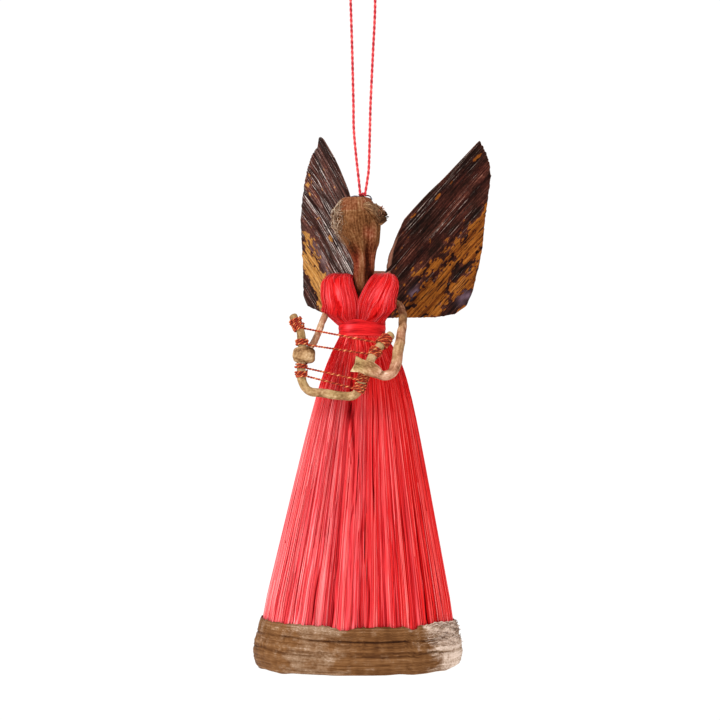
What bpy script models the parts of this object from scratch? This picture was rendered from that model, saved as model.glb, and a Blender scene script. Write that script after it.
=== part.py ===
"""Sisal angel ornament, hung by a loop of twisted cord.

A bundle of natural fibre makes the head and the neck. Two red hanks lie over the shoulders and are
tied at the waist with the red skirt, whose lower edge is wrapped in a band of dry leaf sheath. The
arms are fibre-wrapped wire, and they hold a wire lyre strung with thread. Two leaf-sheath wings
stand behind. Left and right are the angel's own: she faces -Y, and her left side is +X.

Metres, +Z up. The pieces are modelled above the underside of the hem, and one empty lowers them so
that the origin is the inside of the loop's top, where a twig or a hook carries the ornament.
"""

import math

import bmesh
import bpy
from mathutils import Vector

GAP = 0.0003

# heights above the hem, and the skirt

WAIST_HEIGHT = 0.092
NECK_HALF_WIDTH = 0.0061
NECK_HALF_DEPTH = 0.0051
NECK_RISE = 0.0018
FLARE_WIDTH = 0.0039
FLARE_DEPTH = 0.0026
FLARE_DROP = 0.005
SPREAD_WIDTH = 0.2145
SPREAD_DEPTH = 0.160
SKIRT_WALL = 0.0016
SKIRT_LEAN = 0.030
SKIRT_SHIFT = 0.0010
SHIFT_DROP = 0.004
SKIRT_COLUMNS = 60
SKIRT_ROWS = 10
FLUTES = 15
FLUTE_DEPTH = 0.00035
CAVITY_DROP = 0.009

# hem band and waist band

HEM_HEIGHT = 0.0127
HEM_THICKNESS = 0.0012
HEM_BULGE = 0.0007
HEM_OVERHANG = 0.002
HEM_RIPPLE = 0.0007
HEM_SLOPE = 0.0006
BAND_HEIGHT = 0.0042
BAND_THICKNESS = 0.0006
BAND_COLUMNS = 32

# hanks over the shoulders

SHOULDER_RISE = 0.0158
SHOULDER_SPREAD = 0.0065
SHOULDER_HALF_WIDTH = 0.0034
CHEST_REACH = 0.0062
CHEST_SPREAD = 0.0054
CHEST_HALF_WIDTH = 0.0047
CHEST_SHIFT = 0.0007
BACK_NARROWING = 0.88
HANK_HALF_THICKNESS = 0.0016
HANK_FOOT_SPREAD = 0.0026
HANK_FOOT_REACH = 0.0027
HANK_FOOT_HALF_WIDTH = 0.0021
HANK_FOOT_HALF_THICKNESS = 0.0011
HANK_SIDES = 12

# head, hair roll and crown wire

CROWN_RISE = 0.0387
CROWN_HALF_WIDTH = 0.0030
HEAD_HALF_WIDTH = 0.0065
HEAD_HALF_DEPTH = 0.0063
HEAD_LEAN = -0.0012
NECK_RADIUS = 0.0029
STEM_RADIUS = 0.0013
HEAD_SIDES = 20
HAIR_ROLL_RADIUS = 0.0018
HAIR_ARC_RADIUS = 0.0050
HAIR_ARC_CENTRE = -0.0008
HAIR_RISE = 0.0350
HAIR_REACH = math.radians(12)
HAIR_POINTS = 22
WIRE_RADIUS = 0.0002
WIRE_SET_BACK = 0.0010

# arms, hands and lyre

ARM_RADIUS = 0.001
ARM_POINTS = 18
LYRE_RADIUS = 0.0012
LYRE_POINTS = 30
HAND_WALL = 0.0012
RIGHT_HAND_SHARE = 0.212
RIGHT_HAND_HEIGHT = 0.0036
LEFT_HAND_SHARE = 0.782
LEFT_HAND_HEIGHT = 0.0032
STRING_RADIUS = 0.0002
WINDING_WALL = 0.0005
SLEEVE_SIDES = 10
ARM_LOOK = ("#b98f70", 0.6)
THREAD_LOOK = ("#c0643a", 0.5)

# wings

WING_THICKNESS = 0.0009
WING_ROOT_DEPTH = 0.0079
WING_CURL = 0.0018
WING_SECTIONS = 16
WING_STRIPS = 5
LEFT_WING_SWEEP = math.radians(30)
RIGHT_WING_SWEEP = math.radians(41)

# hanging cord

LOOP_HEIGHT = 0.0729
CORD_RADIUS = 0.0004
CORD_POINTS = 75
BEND_RADIUS = 0.0037

CROWN_HEIGHT = WAIST_HEIGHT + CROWN_RISE
HANG_HEIGHT = CROWN_HEIGHT + LOOP_HEIGHT


def linear(hex_colour):
    """An sRGB hex colour as the linear RGBA that a shader takes."""
    values = [int(hex_colour[i : i + 2], 16) / 255 for i in (1, 3, 5)]
    return [v / 12.92 if v <= 0.04045 else ((v + 0.055) / 1.055) ** 2.4 for v in values] + [1.0]


def material(name, hex_colour, roughness, metallic=0.0):
    made = bpy.data.materials.new(name)
    made.use_nodes = True
    shader = made.node_tree.nodes["Principled BSDF"]
    shader.inputs["Base Color"].default_value = linear(hex_colour)
    shader.inputs["Roughness"].default_value = roughness
    shader.inputs["Metallic"].default_value = metallic
    made.diffuse_color = linear(hex_colour)
    return made


def add_object(name, data, look):
    """A named piece under the figure's empty; look is its colour, roughness and, for metal, 1.0."""
    data.materials.clear()
    data.materials.append(material(name, *look))
    piece = bpy.data.objects.new(name, data)
    parts.objects.link(piece)
    piece.parent = figure
    return piece


def smoothed(mesh, sharp_angle=math.radians(50)):
    mesh.shade_smooth()
    mesh.set_sharp_from_angle(angle=sharp_angle)


def catmull(points, steps=24):
    """The Catmull-Rom curve through the given points, in equal steps from each to the next."""
    ends = [2 * points[0] - points[1], *points, 2 * points[-1] - points[-2]]
    line = []
    for a, b, c, d in zip(ends, ends[1:], ends[2:], ends[3:]):
        for k in range(steps):
            t = k / steps
            rise = (2 * a - 5 * b + 4 * c - d) * t**2 + (3 * b - 3 * c + d - a) * t**3
            line.append(0.5 * (2 * b + (c - a) * t + rise))
    line.append(points[-1].copy())
    return line


def even(line, count):
    """count points evenly spaced along a fine polyline."""
    travelled = [0.0]
    for a, b in zip(line, line[1:]):
        travelled.append(travelled[-1] + (b - a).length)
    chosen, j = [], 0
    for i in range(count):
        target = travelled[-1] * i / (count - 1)
        while j < len(line) - 2 and travelled[j + 1] < target:
            j += 1
        share = (target - travelled[j]) / max(travelled[j + 1] - travelled[j], 1e-12)
        chosen.append(line[j].lerp(line[j + 1], min(max(share, 0.0), 1.0)))
    return chosen


def oval(centre, across, along, sides):
    """A ring of points: centre + across * cos + along * sin."""
    turns = [2 * math.pi * k / sides for k in range(sides)]
    return [centre + across * math.cos(t) + along * math.sin(t) for t in turns]


def loft_mesh(name, rings, joined=False):
    """A closed mesh through rings of equally many points, capped at both ends or joined end to end."""
    bm = bmesh.new()
    rows = [[bm.verts.new(p) for p in ring] for ring in rings]
    pairs = list(zip(rows, rows[1:]))
    if joined:
        pairs.append((rows[-1], rows[0]))
    else:
        bm.faces.new(rows[0])
        bm.faces.new(rows[-1])
    for low, high in pairs:
        for k in range(len(low)):
            n = (k + 1) % len(low)
            bm.faces.new((low[k], low[n], high[n], high[k]))
    bmesh.ops.recalc_face_normals(bm, faces=bm.faces)
    mesh = bpy.data.meshes.new(name)
    bm.to_mesh(mesh)
    bm.free()
    smoothed(mesh)
    return mesh


def tube_curve(name, points, radius, swell=None):
    """A round tube along points; swell gives each point's thickness as a share of radius."""
    curve = bpy.data.curves.new(name, "CURVE")
    curve.dimensions = "3D"
    curve.bevel_depth = radius
    curve.bevel_resolution = 2
    curve.use_fill_caps = True
    spline = curve.splines.new("POLY")
    spline.points.add(len(points) - 1)
    for i, p in enumerate(points):
        spline.points[i].co = (*p, 1.0)
        spline.points[i].radius = swell[i] if swell else 1.0
    return curve


def as_mesh(piece, look):
    """The piece's curve made a closed mesh in its own place, for a Boolean."""
    bpy.context.view_layer.update()
    graph = bpy.context.evaluated_depsgraph_get()
    mesh = bpy.data.meshes.new_from_object(piece.evaluated_get(graph))
    bm = bmesh.new()
    bm.from_mesh(mesh)
    bmesh.ops.remove_doubles(bm, verts=bm.verts, dist=1e-6)
    bmesh.ops.recalc_face_normals(bm, faces=bm.faces)
    bm.to_mesh(mesh)
    bm.free()
    name, curve, finish = piece.name, piece.data, piece.data.materials[0]
    bpy.data.objects.remove(piece)
    bpy.data.curves.remove(curve)
    bpy.data.materials.remove(finish)
    return add_object(name, mesh, look)


def unite(piece, helper):
    """Joins helper to piece as one solid and keeps helper as a hidden guide."""
    parts.objects.unlink(helper)
    cutters.objects.link(helper)
    helper.hide_render = True
    helper.display_type = "WIRE"
    join = piece.modifiers.new("join " + helper.name, "BOOLEAN")
    join.operation = "UNION"
    join.object = helper


def skirt_profile(height):
    """Half width, half depth and centre x of the skirt: a straight spread below a quick flare.

    Behind the hem band it runs straight down, so that the band can lie around it.
    """
    drop = max(0.0, WAIST_HEIGHT - max(height, HEM_HEIGHT))
    flare = 1 - math.exp(-drop / FLARE_DROP)
    half_width = NECK_HALF_WIDTH + FLARE_WIDTH * flare + SPREAD_WIDTH * drop
    half_depth = NECK_HALF_DEPTH + FLARE_DEPTH * flare + SPREAD_DEPTH * drop
    centre = SKIRT_SHIFT * (1 - math.exp(-drop / SHIFT_DROP)) - SKIRT_LEAN * drop
    return half_width, half_depth, centre


def skirt_point(turn, height, out=0.0):
    half_width, half_depth, centre = skirt_profile(height)
    x = centre + (half_width + out) * math.cos(turn)
    return Vector((x, (half_depth + out) * math.sin(turn), height))


def skirt_ring(height, flute=0.0, inset=0.0):
    ring = []
    for k in range(SKIRT_COLUMNS):
        turn = 2 * math.pi * k / SKIRT_COLUMNS
        wave = math.cos(FLUTES * turn) + 0.5 * math.cos(4 * turn + 1.0)
        ring.append(skirt_point(turn, height, flute * wave - inset))
    return ring


def skirt():
    """A hollow cone of long red fibre, solid where the waist tie grips it."""
    rings = [skirt_ring(WAIST_HEIGHT + NECK_RISE)]
    fall = WAIST_HEIGHT - HEM_HEIGHT - GAP
    for k in range(SKIRT_ROWS):
        drop = fall * (k / (SKIRT_ROWS - 1)) ** 1.7
        fullness = math.sin(math.pi * drop / fall) ** 0.7 if 0 < drop < fall else 0.0
        rings.append(skirt_ring(WAIST_HEIGHT - drop, flute=FLUTE_DEPTH * fullness))
    rings.append(skirt_ring(HEM_OVERHANG))
    cavity_top = WAIST_HEIGHT - CAVITY_DROP
    middle = (HEM_HEIGHT + cavity_top) / 2
    for height in (HEM_OVERHANG, HEM_HEIGHT, middle, cavity_top - SKIRT_WALL):
        rings.append(skirt_ring(height, inset=SKIRT_WALL))
    rings.append(skirt_ring(cavity_top, inset=2 * SKIRT_WALL))
    return add_object("skirt", loft_mesh("skirt", rings), ("#e34146", 0.5))


def hem_band():
    """Leaf sheath wrapped round the skirt's lower edge, wavy above and uneven below."""
    # (share of the thickness, share of the height, share of the bulge)
    profile = [
        (0.0, 0.0, 0), (0.0, 1.0, 0), (0.6, 1.0, 0), (1.0, 0.9, 0.0),
        (1.0, 0.4, 1.0), (1.0, 0.12, 0.8), (0.5, 0.0, 0.3),
    ]
    rings = []
    for k in range(SKIRT_COLUMNS):
        turn = 2 * math.pi * k / SKIRT_COLUMNS
        top = HEM_HEIGHT + HEM_RIPPLE * (math.sin(5 * turn) + 0.4 * math.sin(9 * turn + 2))
        low = HEM_SLOPE * (math.cos(turn) - 1) + 0.2 * HEM_RIPPLE * (1 + math.sin(4 * turn + 1))
        ring = []
        for across, up, swell in profile:
            point = skirt_point(turn, HEM_HEIGHT, GAP + across * HEM_THICKNESS + swell * HEM_BULGE)
            point.z = low + (top - low) * up
            ring.append(point)
        rings.append(ring)
    return add_object("hem_band", loft_mesh("hem_band", rings, joined=True), ("#7d5437", 0.6))


def waist_band():
    """A flat red band tied round the waist, over the feet of the hanks and the top of the skirt."""
    profile = [(0, 0), (0, 1), (0.5, 1.04), (1, 0.92), (1, 0.08), (0.5, -0.04)]
    rings = []
    for k in range(BAND_COLUMNS):
        turn = 2 * math.pi * k / BAND_COLUMNS
        ring = []
        for across, up in profile:
            out = GAP + across * BAND_THICKNESS
            x = (NECK_HALF_WIDTH + out) * math.cos(turn)
            y = (NECK_HALF_DEPTH + out) * math.sin(turn)
            ring.append(Vector((x, y, WAIST_HEIGHT + BAND_HEIGHT * up)))
        rings.append(ring)
    return add_object("waist_band", loft_mesh("waist_band", rings, joined=True), ("#dd2825", 0.45))


def shoulder_hank(name, side):
    """A hank of red fibre from the front of the waist over one shoulder to the back of the waist."""
    foot = NECK_RISE + GAP
    clear_of_band = BAND_HEIGHT + GAP
    foot_size = (HANK_FOOT_SPREAD, HANK_FOOT_HALF_WIDTH, HANK_FOOT_HALF_THICKNESS)
    # (y, rise above the waist, distance from the middle, half width, half thickness)
    front = [
        (-HANK_FOOT_REACH, foot, *foot_size),
        (-HANK_FOOT_REACH, clear_of_band, *foot_size),
        (-0.88 * CHEST_REACH, 0.0066, 0.0048, 0.0045, 0.0015),
        (-CHEST_REACH, 0.0090, CHEST_SPREAD, CHEST_HALF_WIDTH, HANK_HALF_THICKNESS),
        (-0.90 * CHEST_REACH, 0.0120, 0.0059, 0.0049, HANK_HALF_THICKNESS),
        (-0.58 * CHEST_REACH, 0.0147, 0.0064, 0.0041, HANK_HALF_THICKNESS),
    ]
    top = (0.0, SHOULDER_RISE, SHOULDER_SPREAD, SHOULDER_HALF_WIDTH, HANK_HALF_THICKNESS)
    back = []
    for y, rise, apart, half_width, half_thickness in reversed(front[2:]):
        back.append((-0.87 * y, rise, apart, BACK_NARROWING * half_width, half_thickness))
    for y, *rest in reversed(front[:2]):
        back.append((-y, *rest))
    rows = front + [top] + back
    line, sizes = [], []
    for y, rise, apart, half_width, half_thickness in rows:
        shift = CHEST_SHIFT * math.sin(math.pi * rise / SHOULDER_RISE) if rise > clear_of_band else 0
        line.append(Vector((side * apart + shift, y, WAIST_HEIGHT + rise)))
        sizes.append(Vector((half_width, half_thickness, 0)))
    line, sizes = catmull(line, 2), catmull(sizes, 2)
    last = len(line) - 1
    rings = []
    for i, (centre, size) in enumerate(zip(line, sizes)):
        before, after = line[max(i - 1, 0)], line[min(i + 1, last)]
        run = Vector((0, after.y - before.y, after.z - before.z)).normalized()
        if i in (0, last):
            run = Vector((0, 0, 1 if i == 0 else -1))
        out = Vector((0, run.z, -run.y))
        rings.append(oval(centre, Vector((size.x, 0, 0)), out * size.y, HANK_SIDES))
    return add_object(name, loft_mesh(name, rings), ("#e53135", 0.5))


def head():
    """Head, neck and the stem hidden between the hanks: one bundle, without a face."""
    ledge = HAIR_RISE - HAIR_ROLL_RADIUS - GAP
    over = HAIR_RISE + HAIR_ROLL_RADIUS + GAP
    seat = HAIR_ARC_RADIUS * math.cos(HAIR_REACH) - HAIR_ROLL_RADIUS - GAP
    # (rise above the waist, half width, half depth, x, y)
    sections = [
        (NECK_RISE + 2 * GAP, STEM_RADIUS, STEM_RADIUS, 0, 0),
        (0.0080, 1.3 * STEM_RADIUS, 1.3 * STEM_RADIUS, 0, 0),
        (0.0120, 1.7 * STEM_RADIUS, 1.7 * STEM_RADIUS, 0, 0),
        (0.0150, 0.84 * NECK_RADIUS, 0.84 * NECK_RADIUS, 0, 0),
        (0.0180, NECK_RADIUS, NECK_RADIUS, 0, 0),
        (0.0198, 1.17 * NECK_RADIUS, 1.15 * NECK_RADIUS, 0.3 * HEAD_LEAN, 0),
        (0.0218, 1.36 * NECK_RADIUS, 1.33 * NECK_RADIUS, 0.7 * HEAD_LEAN, 0),
        (0.0240, 0.82 * HEAD_HALF_WIDTH, 0.82 * HEAD_HALF_DEPTH, HEAD_LEAN, 0),
        (0.0263, 0.95 * HEAD_HALF_WIDTH, 0.95 * HEAD_HALF_DEPTH, HEAD_LEAN, 0),
        (0.0287, HEAD_HALF_WIDTH, HEAD_HALF_DEPTH, HEAD_LEAN, 0),
        (0.0310, HEAD_HALF_WIDTH, HEAD_HALF_DEPTH, HEAD_LEAN, 0),
        (ledge - 0.0001, 0.88 * HEAD_HALF_WIDTH, 0.93 * HEAD_HALF_DEPTH, HEAD_LEAN, 0),
        (ledge, seat, 0.72 * HEAD_HALF_DEPTH, HAIR_ARC_CENTRE, -0.0013),
        (over, seat, 0.68 * HEAD_HALF_DEPTH, HAIR_ARC_CENTRE, -0.0013),
        (over + 0.0001, 0.0039, 0.0043, -0.0014, -0.0009),
        (over + 0.0010, 0.0039, 0.0041, -0.0016, -0.0006),
        (CROWN_RISE, CROWN_HALF_WIDTH, CROWN_HALF_WIDTH, -0.0015, 0),
    ]
    rings = []
    for rise, half_width, half_depth, x, y in sections:
        centre = Vector((x, y, WAIST_HEIGHT + rise))
        rings.append(oval(centre, Vector((half_width, 0, 0)), Vector((0, half_depth, 0)), HEAD_SIDES))
    return add_object("head", loft_mesh("head", rings), ("#7c4b30", 0.6))


def hair_roll():
    """A rolled bundle of fibre round the back of the crown, ending at both temples."""
    points, swell = [], []
    for i in range(HAIR_POINTS):
        share = i / (HAIR_POINTS - 1)
        turn = -HAIR_REACH + share * (math.pi + 2 * HAIR_REACH)
        x = HAIR_ARC_CENTRE + HAIR_ARC_RADIUS * math.cos(turn)
        points.append(Vector((x, HAIR_ARC_RADIUS * math.sin(turn), WAIST_HEIGHT + HAIR_RISE)))
        swell.append(0.72 + 0.28 * min(1.0, 5 * share, 5 * (1 - share)))
    curve = tube_curve("hair_roll", points, HAIR_ROLL_RADIUS, swell)
    return add_object("hair_roll", curve, ("#8d6a50", 0.65))


def crown_wire():
    """The short dark wire across the crown, behind the two ends of the cord."""
    height = CROWN_HEIGHT + GAP + WIRE_RADIUS
    ends = [Vector((-0.0036, WIRE_SET_BACK, height)), Vector((0.0013, WIRE_SET_BACK, height))]
    curve = tube_curve("crown_wire", ends, WIRE_RADIUS)
    return add_object("crown_wire", curve, ("#4c4a52", 0.35, 1.0))


def lyre_line():
    """The centreline of the lyre's frame, from the tip of its tall horn round to the short one."""
    route = [
        (-15.5, -16.1, 5.8), (-14.4, -16.3, 3.6), (-13.0, -16.7, 0.9), (-12.4, -17.2, -1.9),
        (-12.2, -17.8, -5.2), (-12.3, -18.4, -8.7), (-12.0, -18.7, -12.0), (-11.1, -18.7, -14.2),
        (-9.5, -18.5, -15.4), (-5.8, -17.6, -15.9), (-1.0, -16.4, -16.6), (1.7, -15.8, -16.5),
        (3.3, -15.5, -14.8), (4.4, -15.6, -11.7), (5.8, -15.2, -8.2), (7.0, -13.6, -5.2),
        (8.6, -10.9, -2.3), (10.6, -7.7, 0.4),
    ]
    return waist_points(route)


def waist_points(route):
    """Points from millimetre triples whose third value is the rise above the waist."""
    return [Vector((x / 1000, y / 1000, WAIST_HEIGHT + rise / 1000)) for x, y, rise in route]


def place_on(line, share):
    """The point at a share of a fine line's length, and the direction there."""
    i = round(share * (len(line) - 1))
    return line[i], (line[min(i + 1, len(line) - 1)] - line[max(i - 1, 0)]).normalized()


def sleeve(name, centre, axis, wall, height):
    """A rounded collar round the lyre's frame: a winding of thread, or a closed hand."""
    across = axis.orthogonal().normalized()
    along = axis.cross(across)
    middle = LYRE_RADIUS + GAP + wall / 2
    rings = []
    for k in range(6):
        turn = 2 * math.pi * k / 6
        radius = middle + wall / 2 * math.cos(turn)
        level = centre + axis * (height / 2 * math.sin(turn))
        rings.append(oval(level, across * radius, along * radius, SLEEVE_SIDES))
    return loft_mesh(name, rings, joined=True)


def grip_point(centre, axis, toward, wall):
    """The middle of a sleeve's wall on the side that faces a point."""
    away = toward - centre
    away -= axis * away.dot(axis)
    return centre + away.normalized() * (LYRE_RADIUS + GAP + wall / 2)


def arm(name, route, swell, hand_share, hand_height, ends_in_hand):
    """A wire arm wrapped in pale fibre, closed round the lyre's frame as a hand."""
    centre, axis = place_on(frame_line, hand_share)
    points = waist_points(route)
    if ends_in_hand:
        points.append(grip_point(centre, axis, points[-1], HAND_WALL))
    line = even(catmull(points), ARM_POINTS)
    thickness = even(catmull([Vector((i, s, 0)) for i, s in enumerate(swell)]), ARM_POINTS)
    curve = tube_curve(name, line, ARM_RADIUS, [t.y for t in thickness])
    limb = as_mesh(add_object(name, curve, ARM_LOOK), ARM_LOOK)
    hand = name + " hand"
    unite(limb, add_object(hand, sleeve(hand, centre, axis, HAND_WALL, hand_height), ARM_LOOK))
    return limb


def lyre_string(name, windings, right_exit=None):
    """A thread drawn straight between its windings on the lyre's two sides.

    Each winding is (share of the frame's length, height); the right one may let go off its middle.
    """
    (right_share, right_height), (left_share, left_height) = windings
    right, right_axis = place_on(frame_line, right_exit or right_share)
    left, left_axis = place_on(frame_line, left_share)
    line = [
        grip_point(right, right_axis, left, WINDING_WALL),
        grip_point(left, left_axis, right, WINDING_WALL),
    ]
    string = as_mesh(add_object(name, tube_curve(name, line, STRING_RADIUS), THREAD_LOOK), THREAD_LOOK)
    for (share, height), place in zip(windings, ("right", "left")):
        centre, axis = place_on(frame_line, share)
        label = f"{name} {place} winding"
        coil = sleeve(label, centre, axis, WINDING_WALL, height)
        unite(string, add_object(label, coil, THREAD_LOOK))
    return string


def wing(name, side, sweep, look, upper_edge, lower_edge):
    """A thin curved sheet of leaf sheath. Both edges run from the root to the tip."""
    reach = Vector((side * math.cos(sweep), math.sin(sweep), 0))
    facing = Vector((-side * math.sin(sweep), math.cos(sweep), 0))
    edges = []
    for edge in (upper_edge, lower_edge):
        flat = [Vector((u / 1000, 0, rise / 1000)) for u, rise in edge]
        edges.append(even(flat, WING_SECTIONS))
    rings = []
    for i, (high, low) in enumerate(zip(*edges)):
        strip = []
        for j in range(WING_STRIPS + 1):
            share = j / WING_STRIPS
            flat = high.lerp(low, share)
            hollow = WING_CURL * math.sin(math.pi * share) * min(1.0, i / 5)
            base = Vector((0, WING_ROOT_DEPTH, WAIST_HEIGHT))
            strip.append(base + reach * flat.x + facing * hollow + Vector((0, 0, flat.z)))
        skin = facing * (WING_THICKNESS / 2)
        rings.append([p + skin for p in strip] + [p - skin for p in reversed(strip)])
    return add_object(name, loft_mesh(name, rings), look)


def hanging_cord():
    """Twisted red cord: up from the crown, round in a loop, and down to the crown again."""
    # (x, rise above the crown) in millimetres
    left = [
        (-0.47, 0.4), (-0.97, 5.2), (-1.8, 12.5), (-2.4, 19.5), (-2.5, 26.7), (-2.85, 41.0), (-3.3, 55.3),
    ]
    right = [
        (3.8, 55.3), (3.6, 48.3), (3.2, 41.0), (2.5, 26.7), (2.3, 19.5), (2.0, 8.9), (1.6, 5.2), (0.8, 0.4),
    ]
    bend_height = LOOP_HEIGHT + CORD_RADIUS - BEND_RADIUS
    route = [Vector((x / 1000, 0, CROWN_HEIGHT + rise / 1000)) for x, rise in left]
    for k in range(7):
        turn = math.pi * (1 - k / 6)
        level = CROWN_HEIGHT + bend_height + BEND_RADIUS * math.sin(turn)
        route.append(Vector((BEND_RADIUS * math.cos(turn), 0, level)))
    route += [Vector((x / 1000, 0, CROWN_HEIGHT + rise / 1000)) for x, rise in right]
    curve = tube_curve("hanging_cord", even(catmull(route), CORD_POINTS), CORD_RADIUS)
    return add_object("hanging_cord", curve, ("#cf3a40", 0.6))


for leftover in list(bpy.data.objects):
    bpy.data.objects.remove(leftover)

parts = bpy.data.collections.new("sisal_angel_ornament")
cutters = bpy.data.collections.new("cutters")
for collection in (parts, cutters):
    bpy.context.scene.collection.children.link(collection)

figure = bpy.data.objects.new("figure", None)
parts.objects.link(figure)
figure.location.z = -HANG_HEIGHT

frame_line = even(catmull(lyre_line()), 400)

skirt()
hem_band()
waist_band()
shoulder_hank("shoulder_hank_left", 1)
shoulder_hank("shoulder_hank_right", -1)
head()
hair_roll()
crown_wire()

frame_tube = tube_curve("lyre_frame", even(frame_line, LYRE_POINTS), LYRE_RADIUS)
add_object("lyre_frame", frame_tube, ("#bf9a70", 0.5))
lyre_string("lyre_string_1", [(0.060, 0.0044), (0.945, 0.0040)], right_exit=0.085)
lyre_string("lyre_string_2", [(0.150, 0.0020), (0.852, 0.0024)])
lyre_string("lyre_string_3", [(0.265, 0.0016), (0.722, 0.0026)])
lyre_string("lyre_string_4", [(0.305, 0.0018), (0.668, 0.0025)])

arm(
    "arm_right",
    [
        (-2.8, 0.2, 8.8), (-5.2, -0.3, 8.8), (-7.6, -1.1, 8.3), (-9.4, -2.1, 6.9), (-9.9, -4.3, 4.9),
        (-10.0, -8.5, 1.5), (-10.3, -12.6, -1.8),
    ],
    [1, 1, 1, 1, 1],
    RIGHT_HAND_SHARE,
    RIGHT_HAND_HEIGHT,
    ends_in_hand=True,
)
arm(
    "arm_left",
    [
        (2.8, 1.2, 8.9), (5.7, 2.2, 9.3), (8.0, 2.3, 9.4), (10.2, 1.7, 8.6), (11.9, -0.9, 6.3),
        (12.9, -4.8, 2.9), (13.3, -8.9, -1.3), (13.3, -11.8, -5.2), (13.3, -13.4, -7.9),
        (12.4, -14.9, -10.2), (10.5, -16.2, -11.1), (8.3, -17.4, -10.2), (5.9, -18.1, -8.6),
        (3.5, -18.3, -7.6),
    ],
    [1, 1, 1.1, 1.25, 1.3, 1.5, 1.5, 1.3, 1.2],
    LEFT_HAND_SHARE,
    LEFT_HAND_HEIGHT,
    ends_in_hand=False,
)

wing(
    "wing_left",
    1,
    LEFT_WING_SWEEP,
    ("#3c211b", 0.45),
    [
        (1.0, 18.2), (5.1, 17.8), (5.7, 22.5), (7.6, 27.3), (10.3, 33.4), (12.7, 36.0), (17.1, 40.6),
        (22.5, 45.6), (32.7, 56.2),
    ],
    [
        (1.0, 5.0), (21.0, 5.5), (25.5, 6.4), (28.8, 8.7), (30.9, 13.3), (32.7, 20.2), (33.9, 25.4),
        (35.1, 36.4), (36.4, 46.5), (35.4, 51.6), (33.3, 55.6),
    ],
)
wing(
    "wing_right",
    -1,
    RIGHT_WING_SWEEP,
    ("#583e37", 0.4),
    [
        (1.0, 18.5), (4.5, 27.5), (8.0, 35.8), (10.8, 41.3), (15.5, 48.2), (19.2, 53.1), (24.6, 58.3),
        (26.2, 58.8),
    ],
    [
        (1.0, 5.2), (14.0, 5.3), (25.1, 7.0), (32.2, 9.2), (34.4, 12.5), (35.8, 24.4), (35.8, 34.8),
        (34.9, 44.9), (33.8, 49.6), (31.6, 53.8), (28.4, 55.9), (27.0, 58.2),
    ],
)

hanging_cord()
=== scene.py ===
"""Sisal angel ornament on a loop of twisted cord: the finished surfaces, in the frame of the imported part.

Left and right are the angel's own: she faces -Y, and her left side is +X. Each piece is worked out in
millimetres above the underside of her hem, and skin() puts it into the frame in metres.
"""

import math

import bpy
import mathutils
import numpy as np
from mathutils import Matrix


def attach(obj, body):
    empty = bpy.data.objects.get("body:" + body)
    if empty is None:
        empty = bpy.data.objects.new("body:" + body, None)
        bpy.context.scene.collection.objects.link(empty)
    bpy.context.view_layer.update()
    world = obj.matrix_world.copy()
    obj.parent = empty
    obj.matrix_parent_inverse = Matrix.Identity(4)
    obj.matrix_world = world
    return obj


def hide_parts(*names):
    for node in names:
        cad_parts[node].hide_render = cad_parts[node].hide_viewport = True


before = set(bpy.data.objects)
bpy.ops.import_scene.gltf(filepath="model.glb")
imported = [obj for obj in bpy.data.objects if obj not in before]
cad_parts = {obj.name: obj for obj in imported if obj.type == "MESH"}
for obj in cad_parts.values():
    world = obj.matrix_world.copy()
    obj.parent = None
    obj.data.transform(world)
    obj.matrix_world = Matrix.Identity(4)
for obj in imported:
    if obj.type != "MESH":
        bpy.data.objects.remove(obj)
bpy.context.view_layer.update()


# The studio: a pale floor well below the hanging figure, a white surround, one broad soft light high on
# her right, weaker ones on her left and behind, and a fill beside the camera, level with her knees.

VIEW_TURN = math.radians(15)
VIEW_DISTANCE = 0.600
VIEW_HEIGHT = -0.1184
VIEW_SLIDE = -0.00056
VIEW_WIDTH = 0.2016
# how bright the surround is as a light, and where the camera sees it
SURROUND_LIGHT = 0.60
SURROUND_SEEN = 1.05
FLOOR_HEIGHT = -0.50
FLOOR_REACH = 1.4


def linear(hex_colour):
    """An sRGB hex colour as linear RGBA: a channel s above 0.04 becomes ((s + 0.055) / 1.055) ^ 2.4."""
    s = np.array([int(hex_colour[i : i + 2], 16) for i in (1, 3, 5)]) / 255
    light = np.where(s > 0.04045, ((s + 0.055) / 1.055) ** 2.4, s / 12.92)
    return (*light.tolist(), 1.0)


def node(look, kind, inputs=(), stops=(), **settings):
    """Adds a shader node. inputs gives its sockets values or other nodes' outputs; stops are a ramp's."""
    made = look.node_tree.nodes.new("ShaderNode" + kind)
    for name, value in settings.items():
        setattr(made, name, value)
    for name, value in dict(inputs).items():
        if isinstance(value, bpy.types.NodeSocket):
            look.node_tree.links.new(value, made.inputs[name])
        else:
            made.inputs[name].default_value = value
    for k, (place, colour) in enumerate(stops):
        stop = made.color_ramp.elements[k] if k < 2 else made.color_ramp.elements.new(place)
        stop.position, stop.color = place, linear(colour)
    return made.outputs


def new_look(name):
    """An empty material to add nodes to."""
    look = bpy.data.materials.new(name)
    look.use_nodes = True
    look.node_tree.nodes.clear()
    return look


def painted_board():
    """Matt white board. The eye sees a pale, even ground with only a soft shadow."""
    look = new_look("painted board")
    tone = node(look, "TexNoise", {"Scale": 3.0, "Detail": 2.0})
    white = node(look, "ValToRGB", {"Fac": tone["Fac"]}, stops=[(0.0, "#fafafa"), (1.0, "#fdfdfd")])
    shader = node(look, "BsdfPrincipled", {"Base Color": white["Color"], "Roughness": 0.9})
    node(look, "OutputMaterial", {"Surface": shader["BSDF"]})
    return look


def soft_light(name, turn, height, breadth, strength):
    """A broad, distant light from a turn round the figure and a height above it, all in degrees."""
    made = bpy.data.objects.new(name, bpy.data.lights.new(name, "SUN"))
    made.data.angle, made.data.energy = math.radians(breadth), strength
    made.rotation_euler = (math.radians(90 - height), 0, math.radians(turn))
    bpy.context.scene.collection.objects.link(made)


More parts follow.
